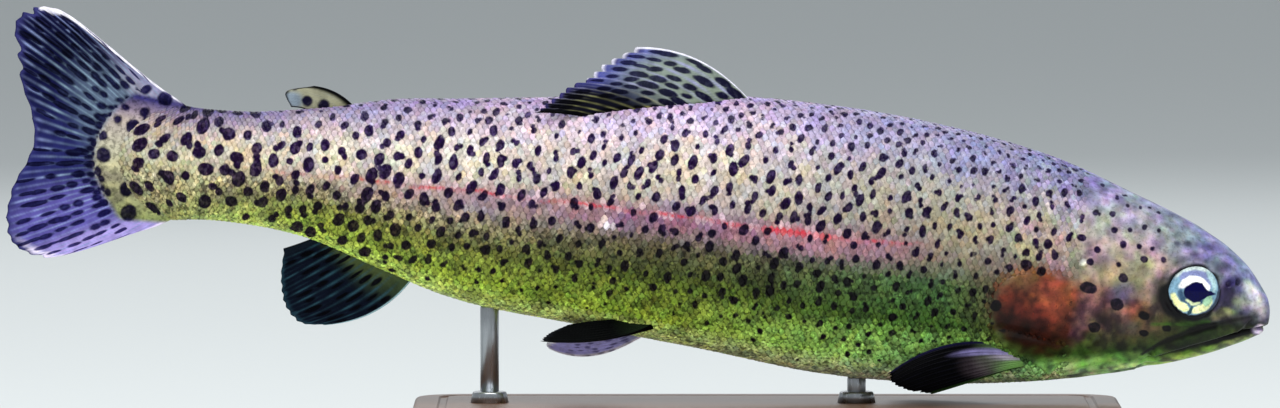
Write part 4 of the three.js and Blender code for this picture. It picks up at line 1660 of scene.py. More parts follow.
            colour = over(colour, top, share)
        return colour

    def half_thickness(self, s: Array, t: Array, length: Array, ridge: Array) -> Array:
        """Half the blade's thickness: thin at the tips, flared into the body, ribbed by rays.

        Args:
            s: Shares from ray to ray.
            t: Shares from root to tip.
            length: The rays' length at each place.
            ridge: How near each place is to a ray.

        Returns:
            Half thicknesses in millimetres.
        """
        plan = self.plan
        half = blend(plan.root, plan.edge, t**0.7) / 2
        half = half + plan.flare[0] * bell(t * length, plan.flare[1])
        half = half * 0.82 + plan.ridge * ridge * ease(0.0, 0.15, t) * (1 - 0.45 * t)
        closing = np.minimum(s, 1 - s) / 0.012, np.minimum(t, 1 - t) / 0.03
        return half * np.sqrt(np.clip(closing[0], 0, 1)) * np.sqrt(np.clip(closing[1], 0, 1))

    def fleshed(self, colour: Array, dashes: Array, middle: Array,
                y: Array) -> tuple[Array, Array, Array]:
        """Carries the body's colours and spots over the fin's root.

        Args:
            colour: The blade's own colour.
            dashes: How far each place is from the edge of one of the blade's own dashes.
            middle: Places on its middle.
            y: How far each place on its surface is to the left.

        Returns:
            The new colours and distances, and how much of each place is flesh.
        """
        u, _, z = middle.T
        edge = self.hem(z)
        height = FORM.height_share(np.minimum(u, 312.0), z)
        share = ease(edge + 1.4, edge - 1.4, u)
        share = share * ease(0.56, 0.51, np.abs(height - 0.5))
        colour = over(colour, self.markings.colour(u, z, height, z - 4), share)
        spots = spot_edges(self.spots, u, z - LINE.height(u), y)
        far = 4.0
        dashes = np.minimum(dashes + far * ease(edge + 0.5, edge - 1.0, u),
                            spots + far * ease(edge - 0.5, edge + 1.5, u))
        return colour, dashes, share

    def mesh(self) -> Mesh:
        """Wraps a grid over the front face and back down the other."""
        plan = self.plan
        mesh, run, turn = flat_grid(f"{plan.node}_blade", plan.columns, plan.rows * 2)
        face, t = np.where(turn <= 0.5, 1.0, -1.0), 1 - np.abs(1 - 2 * turn)
        s = run - 0.012 * np.sin(2 * math.pi * run)
        cut, nudge = self.shortened(s, t), 0.003
        middle = self.at(s, cut)
        across = self.at(np.minimum(s + nudge, 1), cut) - self.at(np.maximum(s - nudge, 0), cut)
        along = self.at(s, np.minimum(cut + nudge, 1)) - self.at(s, np.maximum(cut - nudge, 0))
        normal = np.cross(across, along)
        normal /= np.maximum(np.linalg.norm(normal, axis=1, keepdims=True), 1e-9)
        length = np.linalg.norm(self.at(s, np.ones(len(s))) - self.at(s, np.zeros(len(s))), axis=1)
        wide = np.linalg.norm(across, axis=1) / (2 * nudge)
        ridge = self.ridges(s, t)
        half = self.half_thickness(s, t, length, ridge)
        points = middle + normal * (face * half)[:, None]
        write_points(mesh, self.pose.place(points))
        colour = self.colour(s, t, ridge, middle)
        dashes = self.dashes(s, t, length, wide, middle)
        meat = np.zeros(len(s))
        if plan.look.flesh:
            colour, dashes, meat = self.fleshed(colour, dashes, middle, points[:, 1])
        bold = blend(*plan.look.bold, ease(0.1, 0.6, t))
        write_attributes(mesh, ray=ridge, reach=t * length, spot=dashes, bold=bold, meat=meat,
                         base=colour)
        face_outwards(mesh, SEAM)
        return mesh


DORSAL_RAYS = (
    ((143.5, -1.5, 37.2), (158.5, -4, 52.4), (177.3, -6.4, 49.8)),
    ((152, -5, 35.2), (168, -7, 47), (184.6, -8, 45.2)),
    ((160, -5.8, 33.8), (174, -8.4, 42.4), (189.4, -9.4, 40.4)),
    ((168, -6.2, 32.2), (181, -9.4, 38), (194.9, -10.4, 36.6)),
    ((176, -6.4, 30.6), (188, -10, 33.8), (199.2, -11.2, 32.6)),
    ((183, -6.4, 29), (192, -10.4, 30.4), (202.2, -11.8, 29.2)),
)
ADIPOSE_RAYS = (
    ((250, 0, 24), (255, 0, 28.8), (262, 0, 28.7)),
    ((254, 0, 22.4), (261.5, 0, 27.2), (269.3, 0, 26)),
    ((258.5, 0, 20.2), (262.5, 0, 22.8), (267.4, 0, 22.3)),
)
ANAL_RAYS = (
    ((229.5, 0, -19.6), (236.5, 0, -32), (251.3, 0, -34.7)),
    ((235.5, 0, -16.8), (245, 0, -28.4), (258.6, 0, -34.8)),
    ((241.5, 0, -14), (250.5, 0, -22.4), (262.9, 0, -30.4)),
    ((247.5, 0, -11.6), (255.5, 0, -17.4), (264.6, 0, -24)),
    ((253.5, 0, -9.6), (258.5, 0, -12.8), (264.8, 0, -15.6)),
)
CAUDAL_RAYS = (
    ((291, 0, 16.4), (299, 0, 22.2), (307.6, 0, 24.6)),
    ((300, 0, 15), (317, 0, 30.8), (333.5, 0, 41)),
    ((305, 0, 12.6), (323, 0, 27), (342.8, 0, 38)),
    ((309, 0, 8.6), (326, 0, 17.2), (341.2, 0, 23.6)),
    ((311, 0, 4.2), (324, 0, 5), (334.8, 0, 5.6)),
    ((309, 0, -0.6), (324, 0, -4.6), (339.4, 0, -10)),
    ((305, 0, -4.6), (321, 0, -13.4), (338.4, 0, -21.6)),
    ((300, 0, -7), (313, 0, -19.6), (329.5, 0, -26)),
    ((291, 0, -8), (297, 0, -13.4), (304, 0, -15.9)),
)
PECTORAL_RAYS = (
    ((62.5, -9.6, -18.6), (84, -17, -12.4), (100.4, -20.5, -28.3)),
    ((63, -9.2, -19.6), (84.5, -19, -19.4), (99, -20.8, -30.4)),
    ((63.5, -8.8, -20.6), (80.5, -18.2, -25.6), (94.5, -19.8, -32)),
    ((64, -8.2, -21.6), (76, -16.4, -27.4), (88, -17.8, -32.3)),
)
PELVIC_RIGHT_RAYS = (
    ((161.5, -9.5, -22.5), (176, -12.5, -31.2), (193.5, -13.5, -31.2)),
    ((163.5, -8.6, -22.8), (177, -12.0, -28.4), (192.2, -12.6, -29.6)),
    ((165.5, -7.8, -23), (178, -11.4, -25.4), (190, -12, -28)),
    ((167.5, -7, -23.2), (178, -11.0, -22.8), (187, -11.4, -26.4)),
)
PELVIC_LEFT_RAYS = (
    ((161.5, 9, -22.5), (177, 12.5, -39.6), (191.4, 12.4, -33.8)),
    ((163.5, 7.4, -23), (178, 9.6, -35.4), (191.8, 9.4, -33)),
    ((165.5, 5.6, -23.4), (178, 6.8, -31.4), (190.6, 6.8, -31.2)),
    ((167.5, 4, -23.6), (178, 4.4, -28), (186, 4.2, -28.8)),
)

DORSAL_LOOK = FinLook(
    root="#6c7064", blade="#4c509c", margin="#3c3870", front="#eceaf8", rear="#040406",
    front_reach=0.018, rear_reach=0.10, ray="#9c9cc8", ray_strength=0.85, edges=(0.42, 1.0),
    lead=(0.95, 0.35, 0.50),
    dash_pitch=5.0, dash_half=(2.0, 1.4), dash_out=(2.3, 1.0), dash_from=0.02, dash_to=0.90,
    bold=(1.0, 0.95), tint=Wash((0.78, 0.30), (0.36, 0.60), "#8c8c58", 1.0, (1.3, 0.6)),
    washes=(Wash((0.18, 0.30), (0.40, 0.56), "#84907e", 0.90),
            Wash((0.87, 0.50), (0.42, 1.50), "#020203", 0.98),
            Wash((0.50, 0.04), (0.44, 0.10), "#020203", 0.95),
            Wash((0.64, 0.16), (0.09, 0.06), "#a89a40", 0.80)),
)
ADIPOSE_LOOK = FinLook(
    root="#8a886c", blade="#94927a", margin="#040406", front="#040406", rear="#0a0a0e",
    front_reach=0.24, rear_reach=0.07, ray="#7c8890", ray_strength=0.2, edges=(0.3, 1.0),
    dots=((263.2, 24.4, 1.5), (258.7, 23.8, 1.6), (267.0, 27.6, 0.7)),
    washes=(Wash((0.75, 0.9), (0.30, 0.25), "#7e90a4", 0.8),),
)
CAUDAL_LOOK = FinLook(
    root="#74788e", blade="#24265e", margin="#34346c", front="#f8f4ff", rear="#ecdcff",
    front_reach=0.022, rear_reach=0.03, ray="#8c98cc", ray_strength=1.0, edges=(0.17, 0.86),
    lead=(0.90, 0.35, 0.8),
    dash_pitch=4.0, dash_half=(1.35, 1.0), dash_out=(3.0, 0.56), dash_from=0.02, dash_to=0.95,
    bold=(1.0, 0.95), lines=(2.0, 3.0),
    tint=Wash((0.36, 0.30), (0.34, 0.55), "#7c98a0", 0.8, (1.3, 0.6)),
    washes=(Wash((0.24, 0.26), (0.26, 0.34), "#58687c", 0.80),
            Wash((0.06, 0.16), (0.12, 0.30), "#a29cac", 0.90),
            Wash((0.04, 0.52), (0.09, 0.50), "#8c88ac", 0.85),
            Wash((0.2, 0.88), (0.28, 0.42), "#04062a", 0.92),
            Wash((0.78, 0.60), (0.16, 0.60), "#6058a4", 0.85),
            Wash((0.92, 0.66), (0.10, 0.55), "#b4a2e4", 0.88),
            Wash((0.86, 1.0), (0.10, 0.10), "#f4e8ff", 0.90)),
    flesh=True,
)
ANAL_LOOK = FinLook(
    root="#34422c", blade="#050a18", margin="#1c3440", front="#a8ccd4", rear="#0c141e",
    front_reach=0.02, rear_reach=0.12, ray="#2c505c", ray_strength=0.8,
    dash_pitch=7.0, dash_half=(2.4, 0.6), dash_from=0.1, dash_to=0.9,
    washes=(Wash((0.6, 0.05), (0.5, 0.22), "#4a5430", 0.7),),
)
PECTORAL_LOOK = FinLook(
    root="#6c9458", blade="#000001", margin="#020204", front="#100e2c", rear="#1c3410",
    front_reach=0.08, rear_reach=0.12, ray="#10101c", ray_strength=0.6,
    washes=(Wash((0.70, 0.16), (0.62, 0.30), "#584c54", 0.62),
            Wash((0.90, 0.00), (0.50, 0.26), "#74a456", 0.92),
            Wash((0.34, 0.10), (0.18, 0.16), "#b4a8c0", 0.75),
            Wash((0.24, 0.22), (0.09, 0.28), "#8c84bc", 0.75)),
)
# The right pelvic fin's near black is partly its own dusky colour and partly painted shade.
SHADED_PELVIC_LOOK = FinLook(
    root="#1c2816", blade="#010202", margin="#14161c", front="#020304", rear="#040604",
    front_reach=0.06, ray="#080c10", ray_strength=0.6,
)
# The left pelvic fin is the same kind of fin: its pale lilac is painted light, as if lit by the sky.
LIT_PELVIC_LOOK = FinLook(
    root="#8a96b0", blade="#b4b0f4", margin="#f4f0ff", front="#f4f0ff", rear="#9a98c8",
    front_reach=0.16, ray="#c0bce8", ray_strength=0.7,
    dash_pitch=4.0, dash_half=(0.8, 0.4), dash_from=0.2, dash_to=0.80, bold=(0.7, 0.7),
)

FINS = (
    FinPlan("dorsal_fin", "spotted_fin", DORSAL_RAYS, 12, DORSAL_LOOK,
            margin=Margin.STEPPED, columns=240, rows=64, seed=11),
    FinPlan("adipose_fin", "spotted_fin", ADIPOSE_RAYS, 5, ADIPOSE_LOOK,
            root=2.2, edge=0.8, margin=Margin.SMOOTH, columns=90, rows=40, ridge=0.04, seed=12),
    FinPlan("caudal_fin", "spotted_fin", CAUDAL_RAYS, 26, CAUDAL_LOOK,
            root=1.9, columns=440, rows=72, flare=(1.1, 9.0), seed=13),
    FinPlan("anal_fin", "dark_fin", ANAL_RAYS, 11, ANAL_LOOK, seed=14),
    FinPlan("pectoral_fin_right", "dark_fin", PECTORAL_RAYS, 12, PECTORAL_LOOK, root=1.4, seed=15),
    FinPlan("pectoral_fin_left", "dark_fin", PECTORAL_RAYS, 12, PECTORAL_LOOK, root=1.4,
            mirrored=True, seed=16),
    FinPlan("pelvic_fin_right", "dark_fin", PELVIC_RIGHT_RAYS, 9, SHADED_PELVIC_LOOK, root=1.4,
            columns=140, seed=17),
    FinPlan("pelvic_fin_left", "dark_fin", PELVIC_LEFT_RAYS, 9, LIT_PELVIC_LOOK, root=1.4,
            columns=140, seed=18),
)


# -------------------- The eyes


@dataclass(frozen=True)
class Lobe:
    """A curved mark on the iris: how far out it runs, where it points in degrees (0 is ahead, 90
    up), half its spread, and its colour."""

    inner: float
    outer: float
    turn: float
    spread: float
    colour: str
    strength: float = 1.0
    soft: float = 0.35
    middle: Point2 = (0.0, 0.0)

    def cover(self, across: Array, high: Array) -> Array:
        """How much of each place the mark covers."""
        across, high = across - self.middle[0], high - self.middle[1]
        away, turn = np.hypot(across, high), np.degrees(np.arctan2(high, across))
        aside = np.abs((turn - self.turn + 180.0) % 360.0 - 180.0) / self.spread
        middle, half = (self.inner + self.outer) / 2, (self.outer - self.inner) / 2
        half = half * np.sqrt(np.clip(1.0 - aside**2.4, 0.0, 1.0))
        edge = np.abs(away - middle) - half
        return self.strength * ease(self.soft, -self.soft, edge) * ease(1.1, 0.8, aside)


@dataclass(frozen=True)
class EyePlan:
    """The eye as a flattened ball, turned a little to the front, with its iris and pupil."""

    place: Point2 = (21.0, 2.8)
    radius: float = 7.7
    depth: float = 3.1
    sunk: float = 1.7
    turn: float = 14.0
    ball: Point2 = (0.4, 0.45)
    pupil: Point2 = (3.2, 2.6)
    pattern: Point2 = (-0.75, 0.55)
    pupil_middle: Point2 = (0.3, -0.6)
    pupil_point: float = 2.8
    iris: str = "#7ca2b8"
    black: str = "#000038"
    around: int = 192
    rings: int = 144
    lobes: tuple[Lobe, ...] = (
        Lobe(2.6, 6.2, 82, 74, "#7e86b2", 1.0, 0.6),
        Lobe(5.45, 6.8, 100, 60, "#ccdcd8", 1.0, 0.4),
        Lobe(4.9, 6.5, 30, 32, "#a8c8cc", 0.95, 0.5),
        Lobe(3.0, 4.7, 258, 80, "#314e6a", 0.95, 0.5),
        Lobe(4.7, 6.7, 228, 33, "#f6fab0", 1.0, 0.35),
        Lobe(4.6, 6.6, 304, 35, "#f8fcbc", 1.0, 0.35),
        Lobe(4.4, 6.9, 266, 6, "#24404a", 0.95, 0.4),
        Lobe(2.6, 3.7, 264, 42, "#d8e4b4", 1.0, 0.3, (0.3, -0.6)),
        Lobe(3.0, 5.4, 332, 22, "#9cc8a4", 0.95, 0.4, (0.3, -0.6)),
        # Partly the iris's own silver and partly a painted reflection of the overhead light: the
        # white crescent above the pupil.
        Lobe(3.4, 5.95, 92, 62, "#ffffff", 1.0, 0.3, (0.0, -2.3)),
        Lobe(6.75, 9.6, 0, 3600, "#3a4256", 0.97, 0.25),
        # Painted shadow on the ball's edge below and behind, where the socket shades it.
        Lobe(6.75, 9.6, 225, 110, "#040508", 0.97, 0.25),
    )


@dataclass(frozen=True)
class Eye:
    """One eye, with its iris and its pupil painted on the ball."""

    pose: Pose
    plan: EyePlan

    def mesh(self, name: str, side: int) -> Mesh:
        """Builds one eye.

        Args:
            name: The piece's name.
            side: -1 for the right side, 1 for the left.

        Returns:
            A mesh in the object's frame.
        """
        plan = self.plan
        ball = bmesh.new()
        bmesh.ops.create_uvsphere(ball, u_segments=plan.around, v_segments=plan.rings, radius=1.0)
        mesh = to_mesh(ball, name)
        ahead, up, out = read_points(mesh).T
        across, high, away = plan.radius * np.array([ahead, up, np.hypot(ahead, up)])
        turn = math.radians(plan.turn)
        half = abs(FORM.surface(np.array([plan.place[0]]), self.level())[0, 1])
        middle = (plan.place[0] + plan.ball[0], side * (half - plan.sunk),
                  plan.place[1] + plan.ball[1])
        lens = 0.30 * bell(away, 2.9) - 0.16 * bell(away - 3.5, 0.45) + 0.06 * bell(away - 5.0, 0.8)
        proud = out * plan.depth + lens * np.clip(out, 0, 1)
        points = middle + np.column_stack([
            -math.cos(turn) * across - math.sin(turn) * proud,
            side * (math.cos(turn) * proud - math.sin(turn) * across),
            high,
        ])
        write_points(mesh, self.pose.place(points))
        across, high = across - plan.pattern[0], high - plan.pattern[1]
        shake = [mottle(across + 20, high + 20, 1.7, seed) - 0.5 for seed in (8, 9, 10)]
        across, high = across + 0.9 * shake[0], high + 0.9 * shake[1]
        colour = np.tile(linear(plan.iris), (len(across), 1))
        for lobe in plan.lobes:
            colour = over(colour, lobe.colour, lobe.cover(across, high))
        colour = colour * (1 + 0.7 * shake[2])[:, None]
        colour = over(colour, plan.black, ease(0.22, -0.22, self.pupil(across, high)))
        write_attributes(mesh, base=colour)
        face_outwards(mesh, SEAM)
        return mesh

    def level(self) -> Array:
        """The angle round the body at which the side is as high as the eye."""
        phi = np.linspace(0.05, math.pi - 0.05, 400)
        heights = FORM.surface(np.full(400, self.plan.place[0]), phi)[:, 2]
        return np.array([np.interp(-self.plan.place[1], -heights, phi)])

    def pupil(self, across: Array, high: Array) -> Array:
        """How far each place is from the pupil's edge: an oval with a point to the front."""
        plan = self.plan
        x, y = across - plan.pupil_middle[0], high - plan.pupil_middle[1]
        long, tall = plan.pupil
        stretch = 1 + plan.pupil_point / long * ease(0.0, long * 1.5, x)
        narrow = 1 + 1.6 * ease(long * 0.4, long * 1.4, x)
        ring = np.hypot(x / (long * stretch), y * narrow / tall)
        return (ring - 1) * 0.5 * (long + tall)


# -------------------- The stand


@dataclass(frozen=True)
class Stand:
    """The wooden base and the two steel rods that carry the fish, with their details in mm.

    The groove round the panel is a row of insets, each with its width and its rise.
    """

    corner: float = 14.0
    edge: float = 1.6
    foot: float = 0.6
    groove: tuple[Point2, ...] = ((5.0, 0.0), (0.5, -0.5), (1.6, 0.0), (0.5, 0.5))
    rod_radius: float = 2.5
    rod_end: float = 0.5
    sides: int = 48
    collar_radius: float = 5.2
    collar_height: float = 3.2
    collar_taper: float = 0.86
    collar_shown: float = 0.95

    @staticmethod
    def level_edges(shell: bmesh.types.BMesh, z: float) -> list[bmesh.types.BMEdge]:
        """The edges that lie at one height."""
        return [e for e in shell.edges if all(abs(v.co.z - z) < 1e-6 for v in e.verts)]

    def base(self) -> Mesh:
        """The plate: rounded corners, a soft top edge and a raised panel."""
        low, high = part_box("stand_base")
        plate = bmesh.new()
        bmesh.ops.create_cube(plate, size=1.0)
        bmesh.ops.scale(plate, vec=high - low, verts=plate.verts)
        bmesh.ops.translate(plate, vec=(low + high) / 2, verts=plate.verts)
        upright = [e for e in plate.edges
                   if abs(e.verts[0].co.z - e.verts[1].co.z) > (high - low).z / 2]
        soften(plate, upright, self.corner, 12)
        soften(plate, [e for f in plate.faces if f.normal.z > 0.9 for e in f.edges], self.edge, 5)
        top = [max((f for f in plate.faces if f.normal.z > 0.99), key=lambda f: f.calc_area())]
        for width, rise in self.groove:
            bmesh.ops.inset_region(plate, faces=top, thickness=width * MM, depth=rise * MM)
        soften(plate, self.level_edges(plate, low.z), self.foot, 2)
        bmesh.ops.recalc_face_normals(plate, faces=plate.faces)
        return to_mesh(plate, "stand_base_plate")

    def rod(self, name: str, node: str) -> Mesh:
        """A rod with a turned collar at its foot and a softly rounded top.

        Args:
            name: The piece's name.
            node: The solid that it stands for.

        Returns:
            A mesh in the object's frame.
        """
        low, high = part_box(node)
        middle, board = (low + high) / 2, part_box("stand_base")[1].z
        tall = self.collar_height * MM
        rim = board + tall * self.collar_shown
        rod = bmesh.new()
        for radius, taper, depth, place, end, bevel in (
            (self.rod_radius, 1.0, high.z - low.z, middle.z, high.z, self.rod_end),
            (self.collar_radius, self.collar_taper, tall, rim - tall / 2, rim, self.foot),
        ):
            made = bmesh.ops.create_cone(rod, cap_ends=True, segments=self.sides, depth=depth,
                                         radius1=radius * MM, radius2=radius * MM * taper)
            bmesh.ops.translate(rod, vec=(middle.x, middle.y, place), verts=made["verts"])
            soften(rod, self.level_edges(rod, end), bevel, 3)
        bmesh.ops.recalc_face_normals(rod, faces=rod.faces)
        mesh = to_mesh(rod, name)
        for polygon in mesh.polygons:
            polygon.use_smooth = abs(polygon.normal.z) < 0.95
        return mesh


# -------------------- Finishes


def grey(level: float) -> Colour:
    """A grey that darkens what it multiplies."""
    return (level, level, level)


@dataclass(frozen=True)
class Mottling:
    """Blotches of noise: its scale and detail, the values between which a blotch grows full, what
    the blotches multiply the ground by, and how strong they are."""

    scale: float
    detail: float
    low: float
    high: float
    factor: Colour
    strength: float = 1.0

    def over(self, shader: Shader, ground: object, strength: object = None) -> Socket:
        """Lays the blotches over a ground colour, in their own strength or in another."""
        share = shader.cloud(self.scale, self.detail, self.low, self.high)
        strength = self.strength if strength is None else strength
        return shader.tint(shader.math("MULTIPLY", share, strength), ground, self.factor)


GRIT = Mottling(1050.0, 3.0, 0.46, 0.64, grey(0.26))


@dataclass(frozen=True)
class Spotting:
    """How the dark spots look: ragged at the edge, with a little of the ground showing in some."""

    dark: Colour = (0.014, 0.0, 0.060)
    inner: Colour = (0.100, 0.072, 0.200)
    ragged: float = 0.42
    soft: float = 0.24

    def over(self, shader: Shader, ground: object, strength: object = 1.0) -> Socket:
        """Lays the spots over a ground colour, which they darken to violet."""
        edge = shader.attribute("spot")
        warp = shader.math("MULTIPLY_ADD", shader.noise(620.0, 3.0), 2 * self.ragged, -self.ragged)
        mask = shader.ease(shader.math("ADD", edge, warp), self.soft, -self.soft)
        tone = shader.mix(shader.cloud(700.0, 2.0, 0.44, 0.70), self.dark, self.inner)
        return shader.tint(shader.math("MULTIPLY", mask, strength), ground, tone)


@dataclass(frozen=True)
class SkinFinish:
    """Wet-looking bare skin, as on the head."""

    # Painted shade: this colour darkens the creases of the head, such as the gape, the gill slit,
    # the nostrils and the socket's edge.
    fold: str = "#0c0a08"
    fold_strength: float = 0.85
    roughness: float = 0.36
    blotches: tuple[Mottling, ...] = (
        Mottling(300.0, 4.0, 0.36, 0.66, grey(0.66)),
        Mottling(430.0, 3.0, 0.42, 0.66, (1.0, 0.86, 0.66), 0.5),
        Mottling(1500.0, 2.0, 0.52, 0.66, grey(0.5), 0.5),
    )
    spotting: Spotting = Spotting()

    def material(self) -> Material:
        """Builds the material."""
        shader = Shader("trout skin")
        colour = shader.attribute("base", colour=True)
        for mottling in self.blotches:
            colour = mottling.over(shader, colour)
        colour = self.spotting.over(shader, colour)
        fold = shader.math("MULTIPLY", shader.attribute("fold"), self.fold_strength)
        colour = shader.mix(fold, colour, linear(self.fold))
        broad = shader.math("MULTIPLY", shader.noise(420.0, 3.0), 1.5)
        shader.bump(shader.math("ADD", shader.noise(1800.0, 3.0), broad), 0.00012, 0.55)
        shader.set(Base_Color=colour, Roughness=self.roughness, Coat_Weight=0.10,
                   Coat_Roughness=0.14, Specular_IOR_Level=0.14)
        return shader.material


@dataclass(frozen=True)
class ScaleFinish:
    """Silvery scales, each with its own tone, darker at its root and dark along its rim where the
    net of scales shows."""

    roughness: float = 0.36
    line: str = "#c02434"
    rim: Colour = grey(0.25)
    warmth: Mottling = Mottling(240.0, 4.0, 0.4, 0.66, (1.0, 0.88, 0.72), 0.5)
    spotting: Spotting = Spotting()

    def material(self) -> Material:
        """Builds the material."""
        shader = Shader("trout scales")
        colour = shader.attribute("base", colour=True)
        for name, low, dark, bright in (("tone", 0.0, 0.84, 1.14), ("rear", 0.4, 0.88, 1.06)):
            level = shader.ease(shader.attribute(name), low, 1.0, dark, bright)
            colour = shader.scaled(colour, level)
        rim = shader.ease(shader.attribute("rim"), 0.70, 0.98)
        rim = shader.math("MULTIPLY", rim, shader.attribute("net"))
        colour = self.warmth.over(shader, shader.tint(rim, colour, self.rim))
        grit = shader.attribute("grit")
        colour = GRIT.over(shader, colour, grit)
        shine = shader.math("MULTIPLY", shader.cloud(780.0, 3.0, 0.54, 0.68), grit)
        colour = shader.scaled(colour, shader.math("MULTIPLY_ADD", shine, 0.7, 0.93))
        broken = shader.ease(shader.noise(900.0, 2.0), 0.42, 0.58, 0.3, 0.85)
        line = shader.math("MULTIPLY", shader.attribute("line"), broken)
        colour = self.spotting.over(shader, shader.mix(line, colour, linear(self.line)))
        rings = shader.math("SINE", shader.math("MULTIPLY", shader.attribute("rim"), 34.0))
        shader.bump(rings, 0.00002, 0.4)
        shader.set(Base_Color=colour, Roughness=self.roughness, Coat_Weight=0.05,
                   Coat_Roughness=0.18, Specular_IOR_Level=0.10)
        return shader.material


@dataclass(frozen=True)
class FinFinish:
    """Thin ray-stiffened fin skin with dark dashes."""

    name: str
    roughness: float = 0.48
    specular: float = 0.04
    grit: float = 0.6
    blotches: Mottling = Mottling(380.0, 4.0, 0.35, 0.7, grey(0.72))
    spotting: Spotting = Spotting(dark=(0.02, 0.015, 0.10), inner=(0.08, 0.07, 0.2), soft=0.4)

    def material(self) -> Material:
        """Builds the material."""
        shader = Shader(self.name)
        colour = self.blotches.over(shader, shader.attribute("base", colour=True))
        grit = shader.math("MULTIPLY", shader.attribute("meat"), self.grit)
        colour = GRIT.over(shader, colour, grit)
        colour = self.spotting.over(shader, colour, shader.attribute("bold"))
        joints = shader.math("SINE", shader.math("MULTIPLY", shader.attribute("reach"), 7.0))
        joints = shader.math("MULTIPLY", joints, shader.attribute("ray"))
        shader.bump(shader.math("ADD", joints, shader.noise(900.0, 3.0)), 0.00006, 0.5)
        shader.set(Base_Color=colour, Roughness=self.roughness, Specular_IOR_Level=self.specular)
        return shader.material


@dataclass(frozen=True)
class EyeFinish:
    """A glossy eye over its painted iris, with fine flecks."""

    flecks: Mottling = Mottling(1900.0, 3.0, 0.42, 0.68, grey(0.72))
    roughness: float = 0.16
    coat: float = 0.06

    def material(self) -> Material:
        """Builds the material."""
        shader = Shader("glass eye")
        colour = self.flecks.over(shader, shader.attribute("base", colour=True))
        shader.set(Base_Color=colour, Roughness=self.roughness, Coat_Weight=self.coat,
                   Coat_Roughness=0.04, Specular_IOR_Level=0.1)
        return shader.material


@dataclass(frozen=True)
class WoodFinish:
    """Dark oiled wood with its grain along the base."""

    light: str = "#6b4a33"
    vein: str = "#54372a"
    dark: str = "#3a2417"

    def material(self) -> Material:
        """Builds the material."""
        shader = Shader("dark wood")
        grain = shader.noise(60.0, 6.0, (0.6, 9.0, 9.0), 0.62)
        fine = shader.noise(240.0, 4.0, (0.5, 14.0, 14.0), 0.7)
        share = shader.ease(shader.math("MULTIPLY", fine, 0.35), 0.2, 0.9)
        colour = shader.ramp(grain, ((0.3, self.dark), (0.5, self.light), (0.62, self.vein),
                                     (0.75, self.light)))
        colour = shader.mix(share, colour, linear(self.dark))
        shader.bump(shader.math("ADD", grain, fine), 0.0002, 0.35)
        shader.set(Base_Color=colour, Roughness=0.38, Coat_Weight=0.25, Coat_Roughness=0.25)
        return shader.material


@dataclass(frozen=True)
class SteelFinish:
    """Brushed steel."""

    bright: str = "#b8bcc0"
    dull: str = "#8d9196"

    def material(self) -> Material:
        """Builds the material."""
        shader = Shader("brushed steel")
        lines = shader.noise(900.0, 3.0, (1.0, 1.0, 0.06))
        tone = shader.mix(lines, linear(self.bright), linear(self.dull))
        rough = shader.ease(lines, 0.2, 0.8, 0.22, 0.4)
        shader.bump(lines, 0.00003, 0.3)
        shader.set(Base_Color=tone, Roughness=rough, Metallic=1.0)
        return shader.material


# -------------------- Floor, light and camera


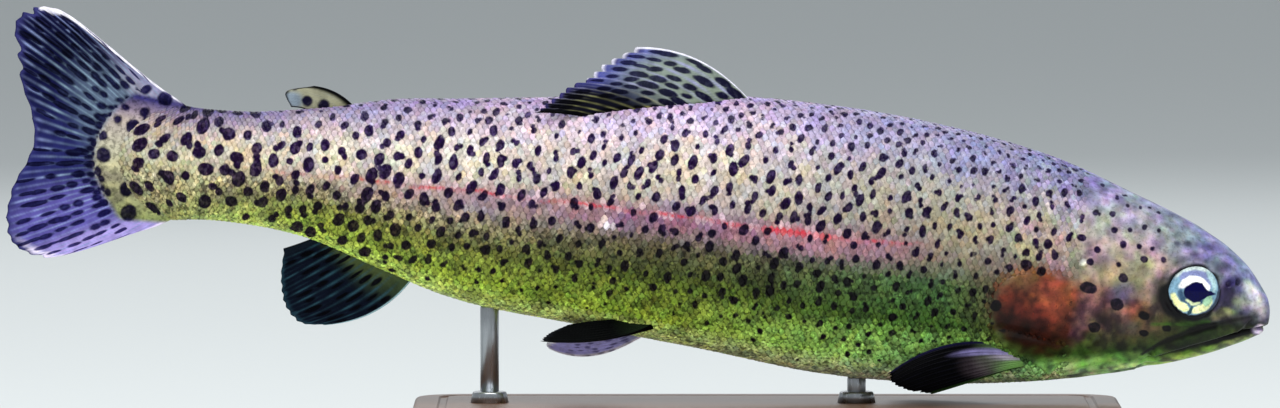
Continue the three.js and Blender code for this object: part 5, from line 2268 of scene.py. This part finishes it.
@dataclass(frozen=True)
class Studio:
    """A plain pale floor, soft light from above, and the camera."""

    floor_half: float = 20.0
    floor: str = "#cfd4d4"
    sky: str = "#dfe4e8"
    sky_strength: float = 0.60
    lens: float = 400.0
    sensor: float = 36.0
    framed_width: float = 0.3433
    centre: Point3 = (-0.0341, 0.0, 0.0653)
    elevation: float = 2.5

    def build(self) -> None:
        """Makes it all."""
        self.make_floor()
        self.make_world()
        self.make_light("key", (0.05, -0.5, 1.5), (-0.03, 0, 0.05), (1.5, 0.9), 25.0)
        self.make_light("fill", (0.1, -2.2, 0.5), (-0.03, 0, 0.06), (2.0, 0.7), 7.0, False)
        self.make_light("card", (-0.02, -0.12, 0.003), (-0.02, -0.12, 1), (0.44, 0.14), 0.3, False)
        self.make_light("back", (-0.3, 1.3, 0.9), (-0.03, 0, 0.07), (1.4, 0.8), 5.0)
        self.make_camera()

    def make_floor(self) -> None:
        """The floor, which isn't part of the object."""
        shell = bmesh.new()
        bmesh.ops.create_grid(shell, x_segments=2, y_segments=2, size=self.floor_half)
        floor = add_object("floor", to_mesh(shell, "floor"))
        shader = Shader("floor")
        shader.set(Base_Color=linear(self.floor), Roughness=0.8)
        floor.data.materials.append(shader.material)

    def make_world(self) -> None:
        """A pale, even sky."""
        world = bpy.data.worlds.new("sky")
        bpy.context.scene.world = world
        world.use_nodes = True
        sky = world.node_tree.nodes["Background"]
        sky.inputs["Color"].default_value = (*linear(self.sky), 1.0)
        sky.inputs["Strength"].default_value = self.sky_strength

    def make_light(self, name: str, place: Point3, aim: Point3, size: Point2,
                   power: float, mirrored: bool = True) -> None:
        """One soft rectangular light, which may be kept out of reflections.

        Args:
            name: Its name.
            place: Where it is.
            aim: Where it points.
            size: Its width and height.
            power: Its power in watts.
            mirrored: Whether shiny surfaces show it.
        """
        data = bpy.data.lights.new(name, "AREA")
        data.shape = "RECTANGLE"
        data.size, data.size_y = size
        data.energy = power
        light = add_object(name, data)
        light.visible_camera, light.visible_glossy = False, mirrored
        self.point(light, Vector(place), Vector(aim) - Vector(place))

    @staticmethod
    def point(thing: bpy.types.Object, place: Vector, way: Vector) -> None:
        """Puts a light or a camera in its place and turns it to look along a way."""
        thing.location = place
        thing.rotation_mode = "QUATERNION"
        thing.rotation_quaternion = way.to_track_quat("-Z", "Y")

    def make_camera(self) -> None:
        """The camera, square to the fish's right side and a little above it."""
        data = bpy.data.cameras.new("camera")
        data.lens, data.sensor_width = self.lens, self.sensor
        data.clip_start, data.clip_end = 0.05, 200.0
        camera = add_object("camera", data)
        tilt = math.radians(self.elevation)
        back = Vector((0.0, -math.cos(tilt), math.sin(tilt)))
        away = self.framed_width * self.lens / self.sensor
        self.point(camera, Vector(self.centre) + back * away, -back)
        bpy.context.scene.camera = camera
        bpy.context.scene.view_settings.view_transform = "Standard"


# -------------------- The whole model


def build_fish(pose: Pose) -> None:
    """Builds the skin, the coat, the fins and the eyes."""
    markings = Markings()
    spots = {side: SpotField(seed).scatter() for side, seed in ((-1, 41), (1, 42))}
    skin = BodySkin(pose, HeadPlan(), markings, spots)
    add_piece(skin.mesh(), SkinFinish().material(), BodySkin.NODES)
    coat = ScaleCoat(pose, markings, spots)
    roots = coat.roots()
    scales = ScaleFinish().material()
    for side, word in SIDES:
        for number, (stretch, first, last) in enumerate(ScaleCoat.STRETCHES):
            chosen = (roots[:, 0] >= first) & (roots[:, 0] < last)
            name = f"scales_{word}_{stretch}"
            add_piece(coat.mesh(name, side, roots[chosen], 70 + 5 * number + side), scales)
    finishes = {slot: FinFinish(slot.replace("_", " ")).material()
                for slot in ("spotted_fin", "dark_fin")}
    for plan in FINS:
        fin = Fin(pose, plan, markings, spots)
        add_piece(fin.mesh(), finishes[plan.slot], (plan.node,))
    eye, glass = Eye(pose, EyePlan()), EyeFinish().material()
    for side, word in SIDES:
        add_piece(eye.mesh(f"eye_{word}_ball", side), glass, (f"eye_{word}",))


def build_stand() -> None:
    """Builds the base and the rods."""
    stand = Stand()
    add_piece(stand.base(), WoodFinish().material(), ("stand_base",))
    steel = SteelFinish().material()
    for word in ("front", "rear"):
        node = f"stand_rod_{word}"
        add_piece(stand.rod(f"{node}_turned", node), steel, (node,))


def main() -> None:
    """Builds the trout on its stand, in its studio."""
    logging.basicConfig(level=logging.INFO, format="%(name)s: %(message)s")
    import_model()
    Studio().build()
    pose = Pose.from_frame(math.radians(7.0), EyePlan().place)
    LOG.info("snout at %.4f, %.4f", pose.snout_x, pose.snout_z)
    build_fish(pose)
    build_stand()


if __name__ == "__main__":
    main()
